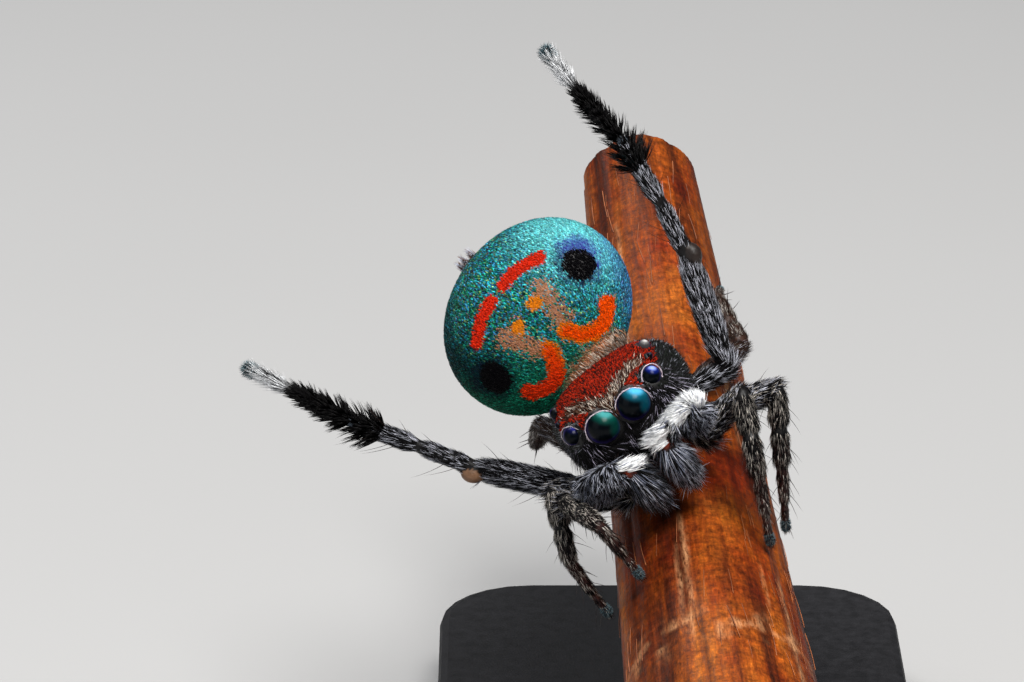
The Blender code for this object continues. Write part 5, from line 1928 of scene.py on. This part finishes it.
# How many to the square millimetre, and their length, thickness and lift off the bark.
FIBRE_TREE_INPUTS = {"Density": 6.0, "Fibre Length": 0.6, "Fibre Width": 0.006, "Lift": 0.02, "Seed": 4}


def fibre_tree(material):
    """Thin bowed fibres laid along the stem over the faces of its mesh, and none on its sawn ends."""
    tree, given = new_tree("loose_fibres", FIBRE_TREE_INPUTS, reads_mesh=True)
    picks = []
    for kind, read, middle, reach in (
        ("GeometryNodeInputNormal", "Normal", 0.0, 0.5),
        ("GeometryNodeInputPosition", "Position", STEM_POINT.dot(STEM_AXIS) + FIBRE_MIDDLE, FIBRE_HALF),
    ):
        along = {0: add_node(tree, kind)[read], 1: STEM_AXIS}
        along = add_node(tree, "ShaderNodeVectorMath", along, operation="DOT_PRODUCT")["Value"]
        near = {0: along, 1: middle, "Epsilon": reach}
        picks.append(add_node(tree, "FunctionNodeCompare", near, operation="EQUAL")["Result"])
    scatter = {"Mesh": given["Geometry"], "Density": given["Density"], "Seed": given["Seed"]}
    scatter["Selection"] = add_node(tree, "FunctionNodeBooleanMath", dict(enumerate(picks)))["Boolean"]
    roots = add_node(tree, "GeometryNodeDistributePointsOnFaces", scatter)
    length = given["Fibre Length"]
    half = add_node(tree, "ShaderNodeMath", {0: length, 1: 0.5}, operation="MULTIPLY")["Value"]
    bow = {"Resolution": 6}
    for name, place in (("Start", {}), ("Middle", {"X": half, "Z": given["Lift"]}), ("End", {"X": length})):
        bow[name] = add_node(tree, "ShaderNodeCombineXYZ", place)["Vector"]
    section = {"Resolution": 5, "Radius": given["Fibre Width"]}
    swept = {
        "Curve": add_node(tree, "GeometryNodeCurveQuadraticBezier", bow)["Curve"],
        "Profile Curve": add_node(tree, "GeometryNodeCurvePrimitiveCircle", section)["Curve"],
        "Fill Caps": True,
    }
    fibre = add_node(tree, "GeometryNodeCurveToMesh", swept)["Mesh"]
    upright = {"Vector": roots["Normal"]}
    upright = add_node(tree, "FunctionNodeAlignRotationToVector", upright, axis="Z")["Rotation"]
    lying = {"Vector": STEM_AXIS, "Rotation": upright}
    lying = add_node(tree, "FunctionNodeAlignRotationToVector", lying, axis="X", pivot_axis="Z")["Rotation"]
    stray = ((0.0, -0.04, -0.16), (0.0, 0.02, 0.16))
    lay_copies(tree, fibre, roots["Points"], lying, stray, (0.35, 1.0), given["Seed"], material)
    return tree


def fibre_finish():
    material, tree = new_material("stem_loose_fibre")
    tone = graded(tree, noise(tree, 3, 3.0), shade(84, 36, 18), shade(176, 104, 56))
    return surfaced(material, {"Base Color": tone, "Roughness": 0.6})


stem_wood = stem_mesh()
tint, pale = bark_tints(coordinates(stem_wood))
paint_mesh(stem_wood, "bark_tint", tint)
paint_mesh(stem_wood, "bark_pale", np.repeat(pale[:, None], 3, axis=1))
fibre_material = fibre_finish()
fibres = made_by(fibre_tree(fibre_material), "stem_fibres", FIBRE_TREE_INPUTS, stem_wood.copy())
for mesh in (stem_wood, fibres):
    mesh.transform(Matrix.Scale(MM, 4))
finished(stem_wood, "stem", bark_finish(), "stem_bark", "perch_stem")
finished(fibres, "stem_fibres", fibre_material, "stem_bark")

# The stand
# A cast black base plate with rounded edges, and two short brushed steel rods that hold the stem.


def base_finish():
    material, tree = new_material("base_black_satin")
    grain = noise(tree, 6, 6.0)
    return surfaced(material, {
        "Base Color": graded(tree, grain, shade(16, 16, 18), shade(34, 34, 37)),
        "Roughness": graded(tree, grain, 0.55, 0.70),
        "Specular IOR Level": 0.2,
        "Normal": bumped(tree, noise(tree, 30, 3.0), 0.000008, 0.6),
    })


def steel_finish():
    material, tree = new_material("rod_brushed_steel")
    brushed = noise(tree, 2.5, 3.0, vector=mapped(tree, in_millimetres(tree), (1, 1, 9)))
    return surfaced(material, {
        "Base Color": graded(tree, brushed, 0.50, 0.62),
        "Roughness": graded(tree, brushed, 0.24, 0.36),
        "Metallic": 1.0,
        "Normal": bumped(tree, brushed, 0.000002, 0.3),
    })


black_satin, brushed_steel = base_finish(), steel_finish()
for node_name, finish in (
    ("stand_base", black_satin),
    ("stand_rod_front", brushed_steel),
    ("stand_rod_back", brushed_steel),
):
    for material_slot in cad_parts[node_name].material_slots:
        material_slot.material = finish

# Floor, light and camera
# A plain pale floor and soft studio light, and the camera at the photograph's angle.

CAMERA_PLACE = (-2.053, -58.280, 27.350)
CAMERA_TILT = 70.0
CAMERA_LENS = 179.3
FLOOR_HALF = 4.0


def floor():
    mesh = bpy.data.meshes.new("floor")
    h = FLOOR_HALF
    mesh.from_pydata([(-h, -h, 0), (h, -h, 0), (h, h, 0), (-h, h, 0)], [], [(0, 1, 2, 3)])
    material, tree = new_material("pale_floor")
    tone = graded(tree, noise(tree, 0.02, 3.0), 0.40, 0.43)
    mesh.materials.append(surfaced(material, {"Base Color": tone, "Roughness": 0.8}))
    linked("floor", mesh)


floor()

# Name, place, size in millimetres, power and colour.
LIGHTS = (
    ("key", (14, -38, 80), 40, 0.115, (1.0, 0.98, 0.95)),
    ("fill", (-180, -150, 75), 180, 0.081, (0.92, 0.96, 1.0)),
    ("rim", (-34, 40, 80), 40, 0.050, (1.0, 1.0, 1.0)),
)
AIM_POINT = Vector((0, 0, 5.5))
for name, place, size, power, tint in LIGHTS:
    lamp = bpy.data.lights.new(name, "AREA")
    lamp.size = size * MM
    lamp.energy = power
    lamp.color = tint
    light = linked(name, lamp)
    light.location = Vector(place) * MM
    light.rotation_euler = (AIM_POINT - Vector(place)).to_track_quat("-Z", "Y").to_euler()

SKY_COLOUR, SKY_STRENGTH = (0.90, 0.93, 1.0, 1), 0.125
world = bpy.data.worlds.new("studio")
world.use_nodes = True
sky = {"Color": SKY_COLOUR, "Strength": SKY_STRENGTH}
feed(world.node_tree, world.node_tree.nodes["Background"], sky)
bpy.context.scene.world = world
bpy.context.scene.view_settings.view_transform = "Standard"

lens_data = bpy.data.cameras.new("camera")
lens_data.lens = CAMERA_LENS
lens_data.clip_start = 0.001
lens_data.clip_end = 10
camera = linked("camera", lens_data)
camera.location = Vector(CAMERA_PLACE) * MM
camera.rotation_euler = (math.radians(CAMERA_TILT), 0, 0)
bpy.context.scene.camera = camera
